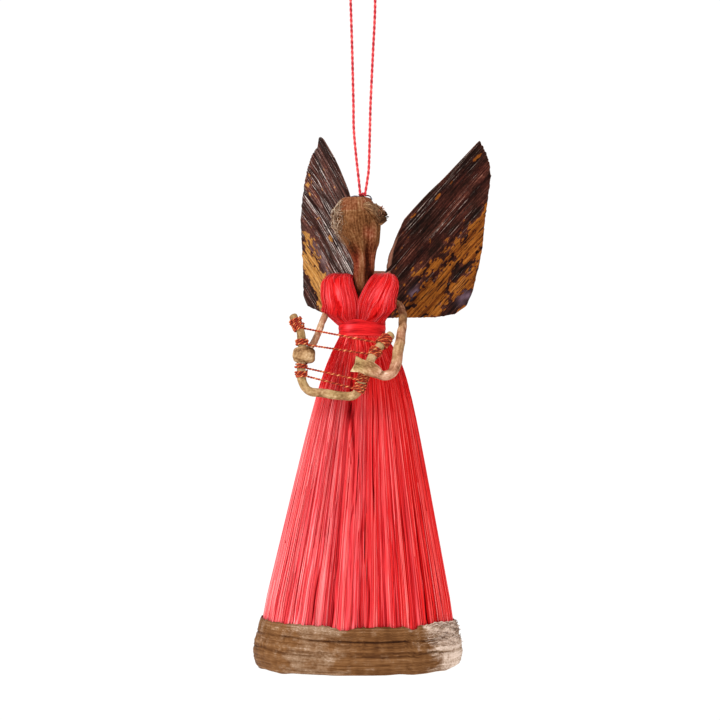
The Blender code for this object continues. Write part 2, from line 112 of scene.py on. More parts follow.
corners = FLOOR_REACH * np.array([(-1, -1, 0), (1, -1, 0), (1, 1, 0), (-1, 1, 0)])
board = bpy.data.meshes.new("floor")
board.from_pydata((corners + (0, 0, FLOOR_HEIGHT)).tolist(), [], [(0, 1, 2, 3)])
board.materials.append(painted_board())
floor = bpy.data.objects.new("floor", board)
bpy.context.scene.collection.objects.link(floor)

surround = bpy.data.worlds.new("white surround")
surround.use_nodes = True
ray = node(surround, "LightPath")
glow = node(surround, "MapRange", {
    "Value": ray["Is Camera Ray"], "To Min": SURROUND_LIGHT, "To Max": SURROUND_SEEN,
})
surround.node_tree.links.new(glow["Result"], surround.node_tree.nodes["Background"].inputs["Strength"])
surround.node_tree.nodes["Background"].inputs["Color"].default_value = (1, 1, 1, 1)
bpy.context.scene.world = surround
soft_light("light on her right", turn=-40, height=38, breadth=30, strength=2.9)
soft_light("light on her left", turn=85, height=20, breadth=40, strength=1.0)
soft_light("fill", turn=15, height=8, breadth=70, strength=1.5)
soft_light("light behind", turn=205, height=30, breadth=60, strength=1.4)

camera = bpy.data.objects.new("camera", bpy.data.cameras.new("camera"))
camera.data.lens = camera.data.sensor_width * VIEW_DISTANCE / VIEW_WIDTH
camera.location = (
    VIEW_DISTANCE * math.sin(VIEW_TURN) + VIEW_SLIDE * math.cos(VIEW_TURN),
    -VIEW_DISTANCE * math.cos(VIEW_TURN) + VIEW_SLIDE * math.sin(VIEW_TURN),
    VIEW_HEIGHT,
)
camera.rotation_euler = (math.pi / 2, 0, VIEW_TURN)
bpy.context.scene.collection.objects.link(camera)
bpy.context.scene.camera = camera
bpy.context.scene.view_settings.view_transform = "Standard"


# Hanging cord: two plies of red cotton twisted together. Both of its ends are pushed into the crown of
# the head, and the ornament hangs by the loop.

CROWN = 130.7
LOOP_HEIGHT = 72.9
CORD_RADIUS = 0.4
BEND_RADIUS = 3.7
CORD_PLY = 0.27
CORD_APART = 0.55
CORD_TWIST = 3.0
CORD_STEPS = 900
BINDING_TURNS = 1.3
BINDING_HALF_WIDTH, BINDING_HALF_DEPTH = 0.95, 0.62
BINDING_SHIFT = 0.15
BINDING_FOOT, BINDING_CLIMB = 0.55, 0.09
BINDING_STEPS = 60
BINDING_PLY = 0.16
BINDING_TWIST = 1.4
COTTON_RED = [(0.0, "#84141c"), (0.5, "#c5333b"), (1.0, "#e2695f")]
# the two strands of the loop, up on her right and down on her left: (x, rise above the crown)
CORD_UP = [
    (-0.47, 0.4), (-0.97, 5.2), (-1.8, 12.5), (-2.4, 19.5), (-2.5, 26.7), (-2.85, 41.0), (-3.3, 55.3),
]
CORD_DOWN = [
    (3.8, 55.3), (3.6, 48.3), (3.2, 41.0), (2.5, 26.7), (2.3, 19.5), (2.0, 8.9), (1.6, 5.2), (0.8, 0.4),
]


def placed(points):
    """Points in metres in the frame, from millimetres above the hem: the loop's inside top is at zero."""
    return (np.asarray(points) - (0, 0, CROWN + LOOP_HEIGHT)) / 1000


def points_at(x, y, z):
    """x, y and z, each a number or an array, as points."""
    return np.stack(np.broadcast_arrays(x, y, z), axis=-1)


def smooth_line(points, steps=24):
    """The Catmull-Rom curve through points of any number of values, in equal steps from each to the next.

    Between b and c it is b + (c - a) t / 2 + (2a - 5b + 4c - d) t^2 / 2 + (3b - 3c + d - a) t^3 / 2.
    """
    points = np.asarray(points, float)
    ends = np.vstack([2 * points[0] - points[1], points, 2 * points[-1] - points[-2]])
    a, b, c, d = (ends[k : k + len(points) - 1, None] for k in range(4))
    t = np.linspace(0, 1, steps, endpoint=False)[None, :, None]
    line = 2 * b + (c - a) * t + (2 * a - 5 * b + 4 * c - d) * t**2 + (3 * b - 3 * c + d - a) * t**3
    return np.vstack([line.reshape(-1, points.shape[1]) / 2, points[-1]])


def travelled(line):
    """The distance along a line to each of its points: the running sum of its steps."""
    return np.concatenate([[0], np.cumsum(np.linalg.norm(np.diff(line, axis=0), axis=1))])


def spaced(line, count):
    """count points evenly spaced along a line, straight between its own points."""
    way = travelled(line)
    even = np.linspace(0, way[-1], count)
    return np.stack([np.interp(even, way, values) for values in line.T], axis=1)


def crossways(line, reference):
    """Two directions square to a line at each point, one of them square to reference as well."""
    run = np.gradient(line, axis=0)
    run /= np.linalg.norm(run, axis=1, keepdims=True)
    side = np.cross(run, reference)
    side /= np.linalg.norm(side, axis=1, keepdims=True)
    return side, np.cross(side, run)


def ring_turns(count):
    """count even turns round a ring, from 0 to just short of a whole turn."""
    return np.linspace(0, 2 * math.pi, count, endpoint=False)


def tube(line, radius, reference, sides):
    """Rings round a line: centre + radius (side cos t + up sin t). radius may be rows x sides."""
    side, up = crossways(line, reference)
    t = ring_turns(sides)[None, :, None]
    radius = np.broadcast_to(np.asarray(radius, float), (len(line), sides))[..., None]
    return line[:, None] + radius * (side[:, None] * np.cos(t) + up[:, None] * np.sin(t))


def two_ply(line, reference, ply_radius, apart, twist, sides):
    """Two round plies twisted about a line: each one's middle is apart times its own radius away from the
    line, at a turn that grows evenly along it.

    Returns the plies and how open their surface lies: its distance from the line over the greatest one,
    which is least in the groove between them.
    """
    side, up = crossways(line, reference)
    plies = []
    for start in (0, math.pi):
        turn = (start + travelled(line) * 2 * math.pi / twist)[:, None]
        aside = apart * ply_radius * (side * np.cos(turn) + up * np.sin(turn))
        plies.append(tube(line + aside, ply_radius, reference, sides))
    plies = np.stack(plies)
    return plies, np.linalg.norm(plies - line[:, None], axis=3) / ((1 + apart) * ply_radius)


def uneven(place, seed, period=997):
    """Smooth random values from 0 to 1 along a line: a random number at each whole step, eased between."""
    table = np.random.default_rng(seed).random(period)
    step = np.floor(place).astype(int)
    share = place - step
    share = share * share * (3 - 2 * share)
    return table[step % period] * (1 - share) + table[(step + 1) % period] * share


def skin(name, look, rings, looped=False, **shades):
    """A closed mesh over rings of points, given as rows x columns x 3, or as several such pieces.

    Every ring is closed. The last ring of a piece is joined to its first if looped, and otherwise each
    end is drawn in to the middle of its ring. shades are values at the points, kept as attributes. The
    faces point outwards: they are turned over if the volume, a sum of a . (b x c) / 6, is negative.
    """
    rings = rings.reshape(-1, *rings.shape[-3:])
    pieces, rows, columns = rings.shape[:3]
    points = rings.reshape(-1, 3)
    number = np.arange(len(points)).reshape(pieces, rows, columns)
    body = np.concatenate([number, number[:, :1]], axis=1) if looped else number
    after = np.roll(body, -1, axis=2)
    quads = np.stack([body[:, :-1], after[:, :-1], after[:, 1:], body[:, 1:]], axis=-1)
    along = np.linspace(0, 1, body.shape[1])[None, :, None] + 0 * body
    around = (np.arange(columns) / columns)[None, None, :] + 0 * body + np.arange(pieces)[:, None, None]
    low, high = along[:, :-1], along[:, 1:]
    left, right = around[:, :-1], around[:, :-1] + 1 / columns
    corners = np.stack([left, low, right, low, right, high, left, high], axis=-1)
    quads, corners = quads.reshape(-1, 4), corners.reshape(-1, 4, 2)
    a, b, c, d = (points[quads[:, k]] - points.mean(axis=0) for k in range(4))
    if np.sum(a * (np.cross(b, c) + np.cross(c, d))) < 0:
        quads, corners = quads[:, ::-1], corners[:, ::-1]
        turned = -1
    else:
        turned = 1
    caps, cap_corners = np.empty((0, 3), int), np.empty((0, 3, 2))
    if not looped:
        hubs = len(points) + np.arange(2 * pieces).reshape(2, pieces, 1)
        start = np.stack([after[:, 0], body[:, 0], hubs[0] + 0 * body[:, 0]], axis=-1)
        end = np.stack([body[:, -1], after[:, -1], hubs[1] + 0 * body[:, 0]], axis=-1)
        caps = np.concatenate([start, end]).reshape(-1, 3)[:, ::turned]
        cap_corners = np.stack([around[:, 0], 0 * around[:, 0]], axis=-1)
        cap_corners = np.concatenate([cap_corners, cap_corners + (0, 1)]).reshape(-1, 1, 2)
        cap_corners = np.repeat(cap_corners, 3, axis=1)
        points = np.concatenate([points, rings[:, 0].mean(axis=1), rings[:, -1].mean(axis=1)])
    mesh = bpy.data.meshes.new(name)
    mesh.from_pydata(placed(points).tolist(), [], quads.tolist() + caps.tolist())
    layer = mesh.uv_layers.new(name="round and along")
    layer.data.foreach_set("uv", np.concatenate([corners.ravel(), cap_corners.ravel()]))
    for shade, values in shades.items():
        values = np.broadcast_to(values, (pieces, rows, columns)).astype(float)
        if not looped:
            ends = [values[:, 0].mean(axis=1), values[:, -1].mean(axis=1)]
            values = np.concatenate([values.ravel(), *ends])
        attribute = mesh.attributes.new(shade, "FLOAT", "POINT")
        attribute.data.foreach_set("value", values.ravel())
    mesh.shade_smooth()
    mesh.materials.append(look)
    piece = bpy.data.objects.new(name, mesh)
    bpy.context.scene.collection.objects.link(piece)
    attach(piece, "root")
    return piece


def twisted_thread(name, stops):
    """Twisted cotton thread. The eye sees two soft plies, a little fluffy, with no gloss."""
    look = new_look(name)
    tone = node(look, "Attribute", attribute_name="tone")
    colour = node(look, "ValToRGB", {"Fac": tone["Fac"]}, stops=stops)
    place = node(look, "TexCoord")
    fluff = node(look, "TexNoise", {"Vector": place["Object"], "Scale": 9000.0, "Detail": 3.0})
    raised = node(look, "Bump", {"Height": fluff["Fac"], "Strength": 0.5, "Distance": 0.00005})
    shader = node(look, "BsdfPrincipled", {
        "Base Color": colour["Color"], "Normal": raised["Normal"], "Roughness": 0.75,
        "Specular IOR Level": 0.2,
    })
    node(look, "OutputMaterial", {"Surface": shader["BSDF"]})
    return look


bend_turn = math.pi * (1 - np.arange(7) / 6)
bend_height = LOOP_HEIGHT + CORD_RADIUS - BEND_RADIUS + BEND_RADIUS * np.sin(bend_turn)
cord_bend = np.stack([BEND_RADIUS * np.cos(bend_turn), bend_height], axis=1)
cord_route = np.vstack([CORD_UP, cord_bend, CORD_DOWN])
cord_route = points_at(cord_route[:, 0], 0, CROWN + cord_route[:, 1])
cord_line = spaced(smooth_line(cord_route), CORD_STEPS)
cord_way = travelled(cord_line)
cord_plies, cord_open = two_ply(cord_line, (0, 1, 0), CORD_PLY, CORD_APART, CORD_TWIST, sides=10)
cord_look = twisted_thread("red cotton cord", COTTON_RED)
# the tone is darker in the groove between the two plies: painted shade
cord = skin(
    "hanging_cord_plies",
    cord_look,
    cord_plies,
    tone=1.5 * (cord_open - 0.58) + 0.5 * (uneven(cord_way / 0.9, 11)[None, :, None] - 0.4),
)
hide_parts("hanging_cord")

# a turn of the same cotton that ties the cord's two ends together at the crown
binding_turn = np.linspace(0, BINDING_TURNS * 2 * math.pi, BINDING_STEPS)
binding_line = points_at(
    BINDING_SHIFT + BINDING_HALF_WIDTH * np.cos(binding_turn), BINDING_HALF_DEPTH * np.sin(binding_turn),
    CROWN + BINDING_FOOT + BINDING_CLIMB * binding_turn,
)
binding_plies, binding_open = two_ply(
    binding_line, (0, 0, 1), BINDING_PLY, CORD_APART, BINDING_TWIST, sides=8,
)
# the tone is darker in the groove between the two plies: painted shade
binding = skin("hanging_cord_binding", cord_look, binding_plies, tone=0.9 * (binding_open - 0.5))


# Head: one bundle of brown fibre folded over and drawn in at the neck, with no face. Its stem runs down
# between the red hanks, a flat strip covers the crown, and stray fibres stand off its right side.

WAIST = 92.0
# (rise above the waist, half width, half depth, x, y)
HEAD_FORM = [
    (2.4, 1.3, 1.3, 0, 0), (8.0, 1.7, 1.7, 0, 0), (12.0, 2.2, 2.2, 0, 0), (15.0, 2.5, 2.5, 0.2, 0),
    (18.0, 2.9, 2.9, 0.5, 0), (20.0, 3.0, 3.1, 0.6, 0), (22.0, 3.3, 3.4, 0.5, 0), (24.0, 4.0, 4.0, 0.2, 0),
    (26.5, 5.1, 4.9, -0.2, 0), (29.0, 5.9, 5.7, -0.8, 0), (31.0, 6.3, 6.1, -1.1, 0),
    (33.0, 6.2, 6.0, -1.3, 0), (35.0, 5.7, 5.5, -1.4, 0), (36.8, 4.9, 4.9, -1.5, -0.2),
    (38.0, 4.3, 4.3, -1.6, -0.3), (38.5, 3.9, 3.9, -1.6, -0.3), (38.7, 3.4, 3.4, -1.6, -0.3),
]
# the folded fibre's ridge down the front of the neck: (rise, how far it is seen from the middle)
NECK_RIDGE = [(13.0, -0.1), (15.9, -0.1), (18.8, 0.1), (21.8, 0.2), (24.8, 0.0), (28.0, -0.7)]
# the hollows on both sides of it: (depth, how far from the ridge, half its width, rise, half its height)
NECK_HOLLOWS = [(1.3, 1.7, 0.9, 22.5, 4.2), (0.6, -1.9, 1.0, 23.0, 4.5)]
# (strength, rise, half its height, how far it is seen from the middle, half its width): a painted
# highlight along the strip's lower edge and another on her left cheek, the pale fold right of the ridge,
# the dark folds beside it with painted shade in the hollow left of the ridge, the brown brow and the
# strand on the left
HEAD_PATCHES_LIGHT_AND_SHADE = [
    (0.26, 34.8, 0.25, -3.0, 2.6), (0.13, 28.6, 2.2, 2.0, 2.4), (0.16, 18.8, 2.6, -1.9, 0.8),
    (-0.18, 23.5, 3.4, -2.6, 1.5), (-0.42, 21.0, 4.6, 1.8, 0.8), (-0.22, 25.2, 1.6, 3.2, 0.7),
    (-0.10, 31.0, 2.4, -1.5, 3.5), (0.22, 19.5, 4.0, 3.4, 0.5), (-0.45, 17.2, 1.8, 2.0, 1.2),
]
# how stout the bundle is, and so how deep its grooves and lumps: (rise, share)
HEAD_GIRTH = [(2, 0.4), (18, 0.5), (27, 1.0), (34, 1.0), (38.7, 0.5)]
HEAD_FACING = math.radians(15)
NECK_RIDGE_TOP = 28.6
STRIP_RISE = 34.7
HEAD_FIBRES = 130
HEAD_ROWS = 140
HEAD_GROOVE = 0.10
BROWN_SISAL = [(0.0, "#271105"), (0.2, "#45250f"), (0.45, "#673f23"), (0.7, "#85603f"), (1.0, "#b8977a")]
RUSTY_SISAL = [(0.0, "#2a0803"), (0.2, "#4f170a"), (0.45, "#733420"), (0.7, "#98604a"), (1.0, "#c69581")]
PALE_SISAL = [(0.0, "#4a3020"), (0.4, "#896b50"), (0.7, "#b2987c"), (1.0, "#d8c7b0")]


def patchy(across, along, seed, period=97):
    """Smooth random values from 0 to 1 over a surface: uneven() both ways."""
    table = np.random.default_rng(seed).random((period, period))
    across, along = np.broadcast_arrays(across, along)
    i, j = np.floor(across).astype(int), np.floor(along).astype(int)
    s, t = across - i, along - j
    s, t = s * s * (3 - 2 * s), t * t * (3 - 2 * t)
    near = table[i % period, j % period] * (1 - s) + table[(i + 1) % period, j % period] * s
    far = table[i % period, (j + 1) % period] * (1 - s) + table[(i + 1) % period, (j + 1) % period] * s
    return near * (1 - t) + far * t


def steps_round(turn, count):
    """How many of count equal steps round a ring lie before a turn."""
    return turn * count / (2 * math.pi)


def patchy_round(turn, count, along, seed, shift=0.0):
    """patchy() on a ring, in count steps to a turn, so that it closes on itself."""
    return patchy(steps_round(turn, count) + shift, along, seed, count)


def bump(value, middle, width):
    """One bump of height 1: e to the power of minus the square of the distance over the width."""
    return np.exp(-(((value - middle) / width) ** 2))


def ramp(value, start, span):
    """From 0 at start to 1 at start + span and level beyond both. A negative span runs downwards."""
    return np.clip((value - start) / span, 0, 1)


def fibre_rows(place, seed, period):
    """Fibres side by side, one in each whole step: their half-round height, and each one's own tone."""
    own = np.random.default_rng(seed).random((2, period))
    step = np.floor(place).astype(int) % period
    half_round = np.sqrt(np.maximum(0.0, 1 - (2 * (place % 1) - 1) ** 2))
    return (0.45 + 0.55 * own[0][step]) * half_round, own[1][step]


def plant_fibre(name, stops, second, roughness, grain, gloss=0.04, contrast=0.6, chaff=0.0):
    """Combed sisal. The eye sees fine parallel fibres with a soft gloss and dark gaps between them.

    The tone of each fibre comes with the mesh, with painted shade in the gaps between fibres, and so does
    where the second colour shows, such as faded dye, and in places a paler painted highlight. Streaks finer
    than the mesh run along it: grain is how many of them go round the piece and along it, and contrast how
    strong they are. A real fibre is 0.2 mm wide, less than a pixel of the render, so the mesh draws them
    about twice as wide. chaff is how strong the specks are, 0.6 mm across.
    """
    look = new_look(name)
    tone = node(look, "Attribute", attribute_name="tone")
    share = node(look, "Attribute", attribute_name="second")
    uv = node(look, "UVMap", uv_map="round and along")
    place = node(look, "TexCoord")
    lie = node(look, "Mapping", {"Vector": uv["UV"], "Scale": (*grain, 1.0)})
    streak = node(look, "TexNoise", {"Vector": lie["Vector"], "Scale": 1.0, "Detail": 4.0, "Roughness": 0.6})
    speck = node(look, "TexNoise", {"Vector": place["Object"], "Scale": 1600.0, "Detail": 3.0})
    finer = node(look, "MapRange", {"Value": streak["Fac"], "To Min": -contrast, "To Max": contrast})
    dotted = node(look, "MapRange", {"Value": speck["Fac"], "To Min": -chaff, "To Max": chaff})
    fibre = node(look, "Math", {0: tone["Fac"], 1: finer["Result"]})
    shade = node(look, "Math", {0: fibre["Value"], 1: dotted["Result"]})
    fresh = node(look, "ValToRGB", {"Fac": shade["Value"]}, stops=stops)
    other = node(look, "ValToRGB", {"Fac": shade["Value"]}, stops=second)
    colour = node(look, "Mix", {
        "Factor": share["Fac"], 6: fresh["Color"], 7: other["Color"],
    }, data_type="RGBA")
    raised = node(look, "Bump", {"Height": shade["Value"], "Strength": 0.35, "Distance": 0.0001})
    shader = node(look, "BsdfPrincipled", {
        "Base Color": colour[2], "Normal": raised["Normal"], "Roughness": roughness,
        "Specular IOR Level": gloss,
    })
    node(look, "OutputMaterial", {"Surface": shader["BSDF"]})
    return look


def strands(routes, radius, reference=(0.0, 0.0, 1.0)):
    """Three-sided fibres along routes, pieces x rows x 3: centre + radius (side cos t + up sin t)."""
    run = np.gradient(routes, axis=1)
    side = np.cross(run, reference)
    side /= np.linalg.norm(side, axis=2, keepdims=True)
    up = np.cross(side, run)
    up /= np.linalg.norm(up, axis=2, keepdims=True)
    t = ring_turns(3)[None, None, :, None]
    spoke = side[:, :, None] * np.cos(t) + up[:, :, None] * np.sin(t)
    return routes[:, :, None] + np.asarray(radius)[..., None, None] * spoke


def head_shape(turn, rise):
    """The head's oval at a rise: half width, half depth and centre, how far from the middle a point is seen
    from the front, towards her left, and how far it faces forward, from 0 to 1."""
    form = smooth_line(HEAD_FORM, 12)
    width, depth, x, y = (np.interp(rise, form[:, 0], form[:, k]) for k in range(1, 5))
    seen = x + width * np.cos(turn - HEAD_FACING)
    return width, depth, x, y, seen, np.clip(-1.6 * np.sin(turn - HEAD_FACING), 0, 1)


def ridge_width(rise):
    """Half the width of the neck's ridge, which grows evenly downwards from its tip."""
    return 0.25 + 0.075 * np.clip(28.0 - rise, 0, 14)


def head_point(turn, rise, out):
    """A point on the head: its oval plus out, with a ridge down the front of the neck, a hollow on both
    sides of the ridge, and the flat strip's step below the crown, each a bump across and along."""
    width, depth, x, y, seen, front = head_shape(turn, rise)
    ridge_line = np.interp(rise, *np.array(NECK_RIDGE).T)
    ridge = 0.5 * bump(seen, ridge_line, ridge_width(rise)) * ramp(rise, NECK_RIDGE_TOP, -3)
    raised = ridge + 0.35 * ramp(rise, STRIP_RISE, 0.35) * bump(seen, -1.6, 3.4) ** 2
    for sunk, aside, across, middle, height in NECK_HOLLOWS:
        raised = raised - sunk * bump(seen, ridge_line + aside, across) * bump(rise, middle, height)
    out = out + front * raised
    return points_at(x + (width + out) * np.cos(turn), y + (depth + out) * np.sin(turn), WAIST + rise)


turn = ring_turns(3 * HEAD_FIBRES)[None, :]
rise = np.linspace(HEAD_FORM[0][0], HEAD_FORM[-1][0], HEAD_ROWS)[:, None]
wander = 5.0 * (patchy_round(turn, 9, rise / 6, 21) - 0.5)
ridge, own_tone = fibre_rows(steps_round(turn, HEAD_FIBRES) + wander, 22, HEAD_FIBRES)
lock = patchy_round(turn, 15, rise / 14, 23, 0.2 * wander)
mottle = patchy_round(turn, 24, rise / 1.7, 24)
girth = np.interp(rise, *np.array(HEAD_GIRTH).T)
relief = HEAD_GROOVE * girth * (ridge - 0.6) + 0.4 * girth * (lock - 0.5) + 0.22 * girth * (mottle - 0.5)
seen, front = head_shape(turn, rise)[4:]
ridge_line = np.interp(rise, *np.array(NECK_RIDGE).T)
# darker down the stem, a painted highlight on the ridge, and the patches, some of which are painted
# highlights and painted shade
cap = ramp(rise, 34.6, 0.4)
painted = 0.03 * cap - 0.11 * ramp(rise, 28, -6) - 0.4 * ramp(rise, 14.5, -2.5)
ridge_lit = bump(seen, ridge_line, ridge_width(rise)) * ramp(rise, NECK_RIDGE_TOP, -3)
painted = painted + 0.20 * front * ridge_lit
for strength, middle, height, aside, width in HEAD_PATCHES_LIGHT_AND_SHADE:
    painted = painted + strength * front * bump(rise, middle, height) * bump(seen, aside, width)
# redder down the neck and on the strip, and on her left cheek, where the redder colour is part of a
# painted highlight
rusty = 0.65 * ramp(rise, 26.5, -4) + 0.8 * front * bump(seen, 2.0, 2.2) * bump(rise, 28.4, 2.2)
rusty = rusty + 0.40 * cap * front + 0.35 * (mottle - 0.5) - 0.35 * front * bump(seen, ridge_line, 0.7)
rusty = rusty + 0.5 * front * bump(rise, 20.0, 3.0) * bump(seen, -1.9, 1.0)
head = skin(
    "head_bundle",
    plant_fibre("brown sisal", BROWN_SISAL, RUSTY_SISAL, 0.6, (170.0, 7.0), 0.03, 0.5, 0.38),
    head_point(turn, rise, relief),
    tone=np.clip(0.46 + 0.20 * (own_tone - 0.5) + 0.2 * (lock - 0.5) + 0.2 * (mottle - 0.5) + painted, 0, 1),
    second=np.clip(rusty, 0, 1),
)
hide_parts("head")

# stray fibres that run down the right side of the head and bow out from it
count, rows = 160, 16
chance = np.random.default_rng(31)
along = np.linspace(0, 1, rows)[None, :]
number = np.arange(count)[:, None]
start_turn = math.pi * (1.07 + 0.12 * chance.normal(0, 1, (count, 1)).clip(-2, 2))
loose = chance.uniform(0, 1, (count, 1)) ** 1.5
stray_turn = start_turn + 1.1 * (patchy(along * 4.5, number * 1.7, 32) - 0.5) - 0.15 * along
stray_rise = 37.6 - chance.uniform(0, 6, (count, 1)) - along * chance.uniform(2, 8, (count, 1))
stray_rise = stray_rise + 3.5 * loose * (patchy(along * 4.0, number * 1.3, 33) - 0.5)
stand_off = 0.1 + np.sin(math.pi * along) * (0.15 + 2.2 * loose * patchy(along * 3.0, number * 1.9, 34))
strays = skin(
    "head_stray_fibres",
    plant_fibre("pale sisal", PALE_SISAL, RUSTY_SISAL, 0.6, (1.0, 9.0), gloss=0.05),
    strands(head_point(stray_turn, stray_rise, stand_off), chance.uniform(0.045, 0.095, (count, 1))),
    tone=chance.uniform(0.15, 1.0, (count, 1, 1)),
    second=chance.uniform(0, 0.5, (count, 1, 1)),
)


# Hair: looser fibre rolled round the back of the crown, and a rough tuft that flares from the left temple
# with short cut ends.

HAIR_ROLL_RADIUS = 1.8
HAIR_ARC_RADIUS = 5.0
HAIR_ARC_CENTRE = -0.8
HAIR_RISE = 35.0
HAIR_REACH = math.radians(12)
ROLL_FIBRES, TUFT_FIBRES = 24, 34
ROLL_STEPS, TUFT_SIDES = 120, 120
# the tuft from the parting to its flared end: (x, y, rise above the waist, half height, half depth)
TUFT_FORM = [
    (0.4, -3.0, 36.0, 0.5, 0.6), (1.6, -3.1, 35.7, 0.9, 1.2), (3.0, -2.9, 35.3, 1.5, 1.6),
    (4.5, -2.4, 34.6, 2.1, 1.7), (5.6, -2.0, 33.2, 2.3, 1.5), (6.3, -1.7, 33.0, 1.6, 1.2),
    (6.9, -1.5, 33.2, 0.8, 0.8),
]
DRY_SISAL = [(0.0, "#28150b"), (0.35, "#4d3321"), (0.65, "#775a41"), (1.0, "#b8997c")]

share = np.linspace(0, 1, ROLL_STEPS)
arc_turn = -HAIR_REACH + share * (math.pi + 2 * HAIR_REACH)
hair_line = points_at(
    HAIR_ARC_CENTRE + HAIR_ARC_RADIUS * np.cos(arc_turn), HAIR_ARC_RADIUS * np.sin(arc_turn),
    WAIST + HAIR_RISE,
)
turn = ring_turns(3 * ROLL_FIBRES)[None, :]
taper = 0.62 + 0.38 * np.minimum(1, 5 * np.minimum(share, 1 - share))[:, None]
wander = 1.5 * share[:, None] + 1.6 * patchy_round(turn, 6, share[:, None] * 7, 41)
ridge, own_tone = fibre_rows(steps_round(turn, ROLL_FIBRES) + 4 * wander, 42, ROLL_FIBRES)
crumple = patchy_round(turn, 5, share[:, None] * 16, 43) - 0.5
tuft_look = plant_fibre("dry brown sisal", DRY_SISAL, BROWN_SISAL, 0.65, (50.0, 12.0), gloss=0.03, chaff=0.3)
roll = skin(
    "hair_roll_fibre",
    tuft_look,
    tube(
        hair_line, (HAIR_ROLL_RADIUS * taper - 0.15) + 0.22 * ridge + 0.5 * crumple, (0, 0, 1),
        3 * ROLL_FIBRES,
    ),
    tone=np.clip(0.3 + 0.4 * own_tone + 0.2 * ridge + 0.2 * crumple, 0, 1),
    second=0.3 * own_tone,
)
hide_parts("hair_roll")

# the tuft, its end torn and darker
form = smooth_line(TUFT_FORM, 12)
share = np.linspace(0, 1, len(form))[:, None]
turn = ring_turns(TUFT_SIDES)[None, :]
wander = 3 * patchy_round(turn, 5, share * 3, 45)
ridge, own_tone = fibre_rows(steps_round(turn, TUFT_FIBRES) + wander, 46, TUFT_FIBRES)
crumple = patchy_round(turn, 8, share * 7, 47) - 0.5
ragged = ramp(share, 0.65, 0.25) * (uneven(steps_round(turn, 22), 48, 22) - 0.4)
out = 0.18 * ridge + crumple
tuft_rings = form[:, None, :3] + (0, 0, WAIST) + points_at(
    2.0 * ragged, (form[:, None, 4] + out) * np.cos(turn), (form[:, None, 3] + out) * np.sin(turn),
)
tuft_tone = 0.44 + 0.35 * (own_tone - 0.5) + 0.4 * crumple - 0.35 * ramp(share, 0.78, 0.2)
tuft = skin(
    "hair_temple_tuft",
    tuft_look,
    tuft_rings,
    tone=np.clip(tuft_tone, 0, 1),
    second=np.clip(1.5 - 2.5 * share + 0.5 * (own_tone - 0.5) - 0.8 * np.sin(turn), 0, 1),
)

# its cut ends: short fibres rooted on the front of the tuft, that lean outwards and curl
count, rows = 70, 6
chance = np.random.default_rng(49)
along = np.linspace(0, 1, rows)[None, :, None]
place = chance.uniform(0.15, 1.0, count)
step = place * (len(form) - 1)
root = np.stack([np.interp(step, np.arange(len(form)), values) for values in form.T], axis=1)
root_turn = chance.uniform(0.05, 0.95, count) * math.pi
spoke = points_at(0, -np.cos(root_turn) * root[:, 4], np.sin(root_turn) * root[:, 3])
start = root[:, :3] + (0, 0, WAIST) + 0.85 * spoke
lean = 0.20 * spoke + chance.normal(0, 0.25, (count, 3)) + (0.4, 0, 0)
curl = chance.normal(0, 0.2, (count, 3))
ends = skin(
    "hair_cut_ends",
    plant_fibre("cut ends of brown sisal", DRY_SISAL, RUSTY_SISAL, 0.65, (1.0, 4.0), gloss=0.03),
    strands(
        start[:, None] + lean[:, None] * along + curl[:, None] * along**2,
        chance.uniform(0.10, 0.22, (count, 1)) * (1 - 0.3 * along[..., 0]), (0.1, 0.9, 0.3),
    ),
    tone=chance.uniform(0.1, 1.0, (count, 1, 1)),
    second=chance.uniform(0, 1, (count, 1, 1)),
)


# Crown wire: a short end of dark florist's wire across the crown, behind the cord. It ties the cord's
# ends down, and its own ends are bent over.

# (x, y, rise above the crown)
CROWN_WIRE = [
    (-3.6, 1.0, 0.25), (-2.4, 0.9, 0.5), (-1.2, 1.0, 0.4), (0.2, 1.0, 0.45), (1.3, 0.9, 0.6), (2.2, 0.4, 0.3),
    (2.8, 0.2, -0.6),
]
WIRE_RADIUS = 0.2
WIRE_STEPS = 60


def iron_wire():
    """Annealed iron wire, drawn and darkened. The eye sees a thin bluish grey line with worn glints."""
    look = new_look("annealed iron wire")
    place = node(look, "TexCoord")
    wear = node(look, "TexNoise", {"Vector": place["Object"], "Scale": 1500.0, "Detail": 3.0})
    colour = node(look, "ValToRGB", {"Fac": wear["Fac"]}, stops=[(0.3, "#35343c"), (0.7, "#77757e")])
    rough = node(look, "MapRange", {"Value": wear["Fac"], "To Min": 0.28, "To Max": 0.5})
    shader = node(look, "BsdfPrincipled", {
        "Base Color": colour["Color"], "Roughness": rough["Result"], "Metallic": 1.0,
    })
    node(look, "OutputMaterial", {"Surface": shader["BSDF"]})
    return look


wire_line = spaced(smooth_line(np.array(CROWN_WIRE) + (0, 0, CROWN)), WIRE_STEPS)
wire = skin("crown_wire_end", iron_wire(), tube(wire_line, WIRE_RADIUS, (0, 1, 0.2), sides=12))
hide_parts("crown_wire")


# Shoulder hanks: two flat hanks of red-dyed sisal. Each goes from the front of the waist over a shoulder
# to the back of the waist, and they meet in a V over the stem of the head.

# (y, rise above the waist, inner edge, outer edge, half thickness, how far its outer edge bends back)
HANK_FEET = [(-3.9, 2.1, 0.05, 5.6, 1.2, 3.3), (-4.1, 4.4, 0.05, 6.4, 1.2, 3.0)]
HANK_FRONT = [
    (-5.5, 6.8, 0.0, 9.2, 1.5, 2.2), (-6.2, 9.0, 0.1, 10.2, 1.6, 1.6), (-5.6, 12.0, 1.1, 10.6, 1.6, 1.2),
    (-3.6, 14.7, 2.1, 10.7, 1.6, 0.6),
]
HANK_TOP = (0.0, 15.8, 2.7, 9.3, 1.6, 0.0)
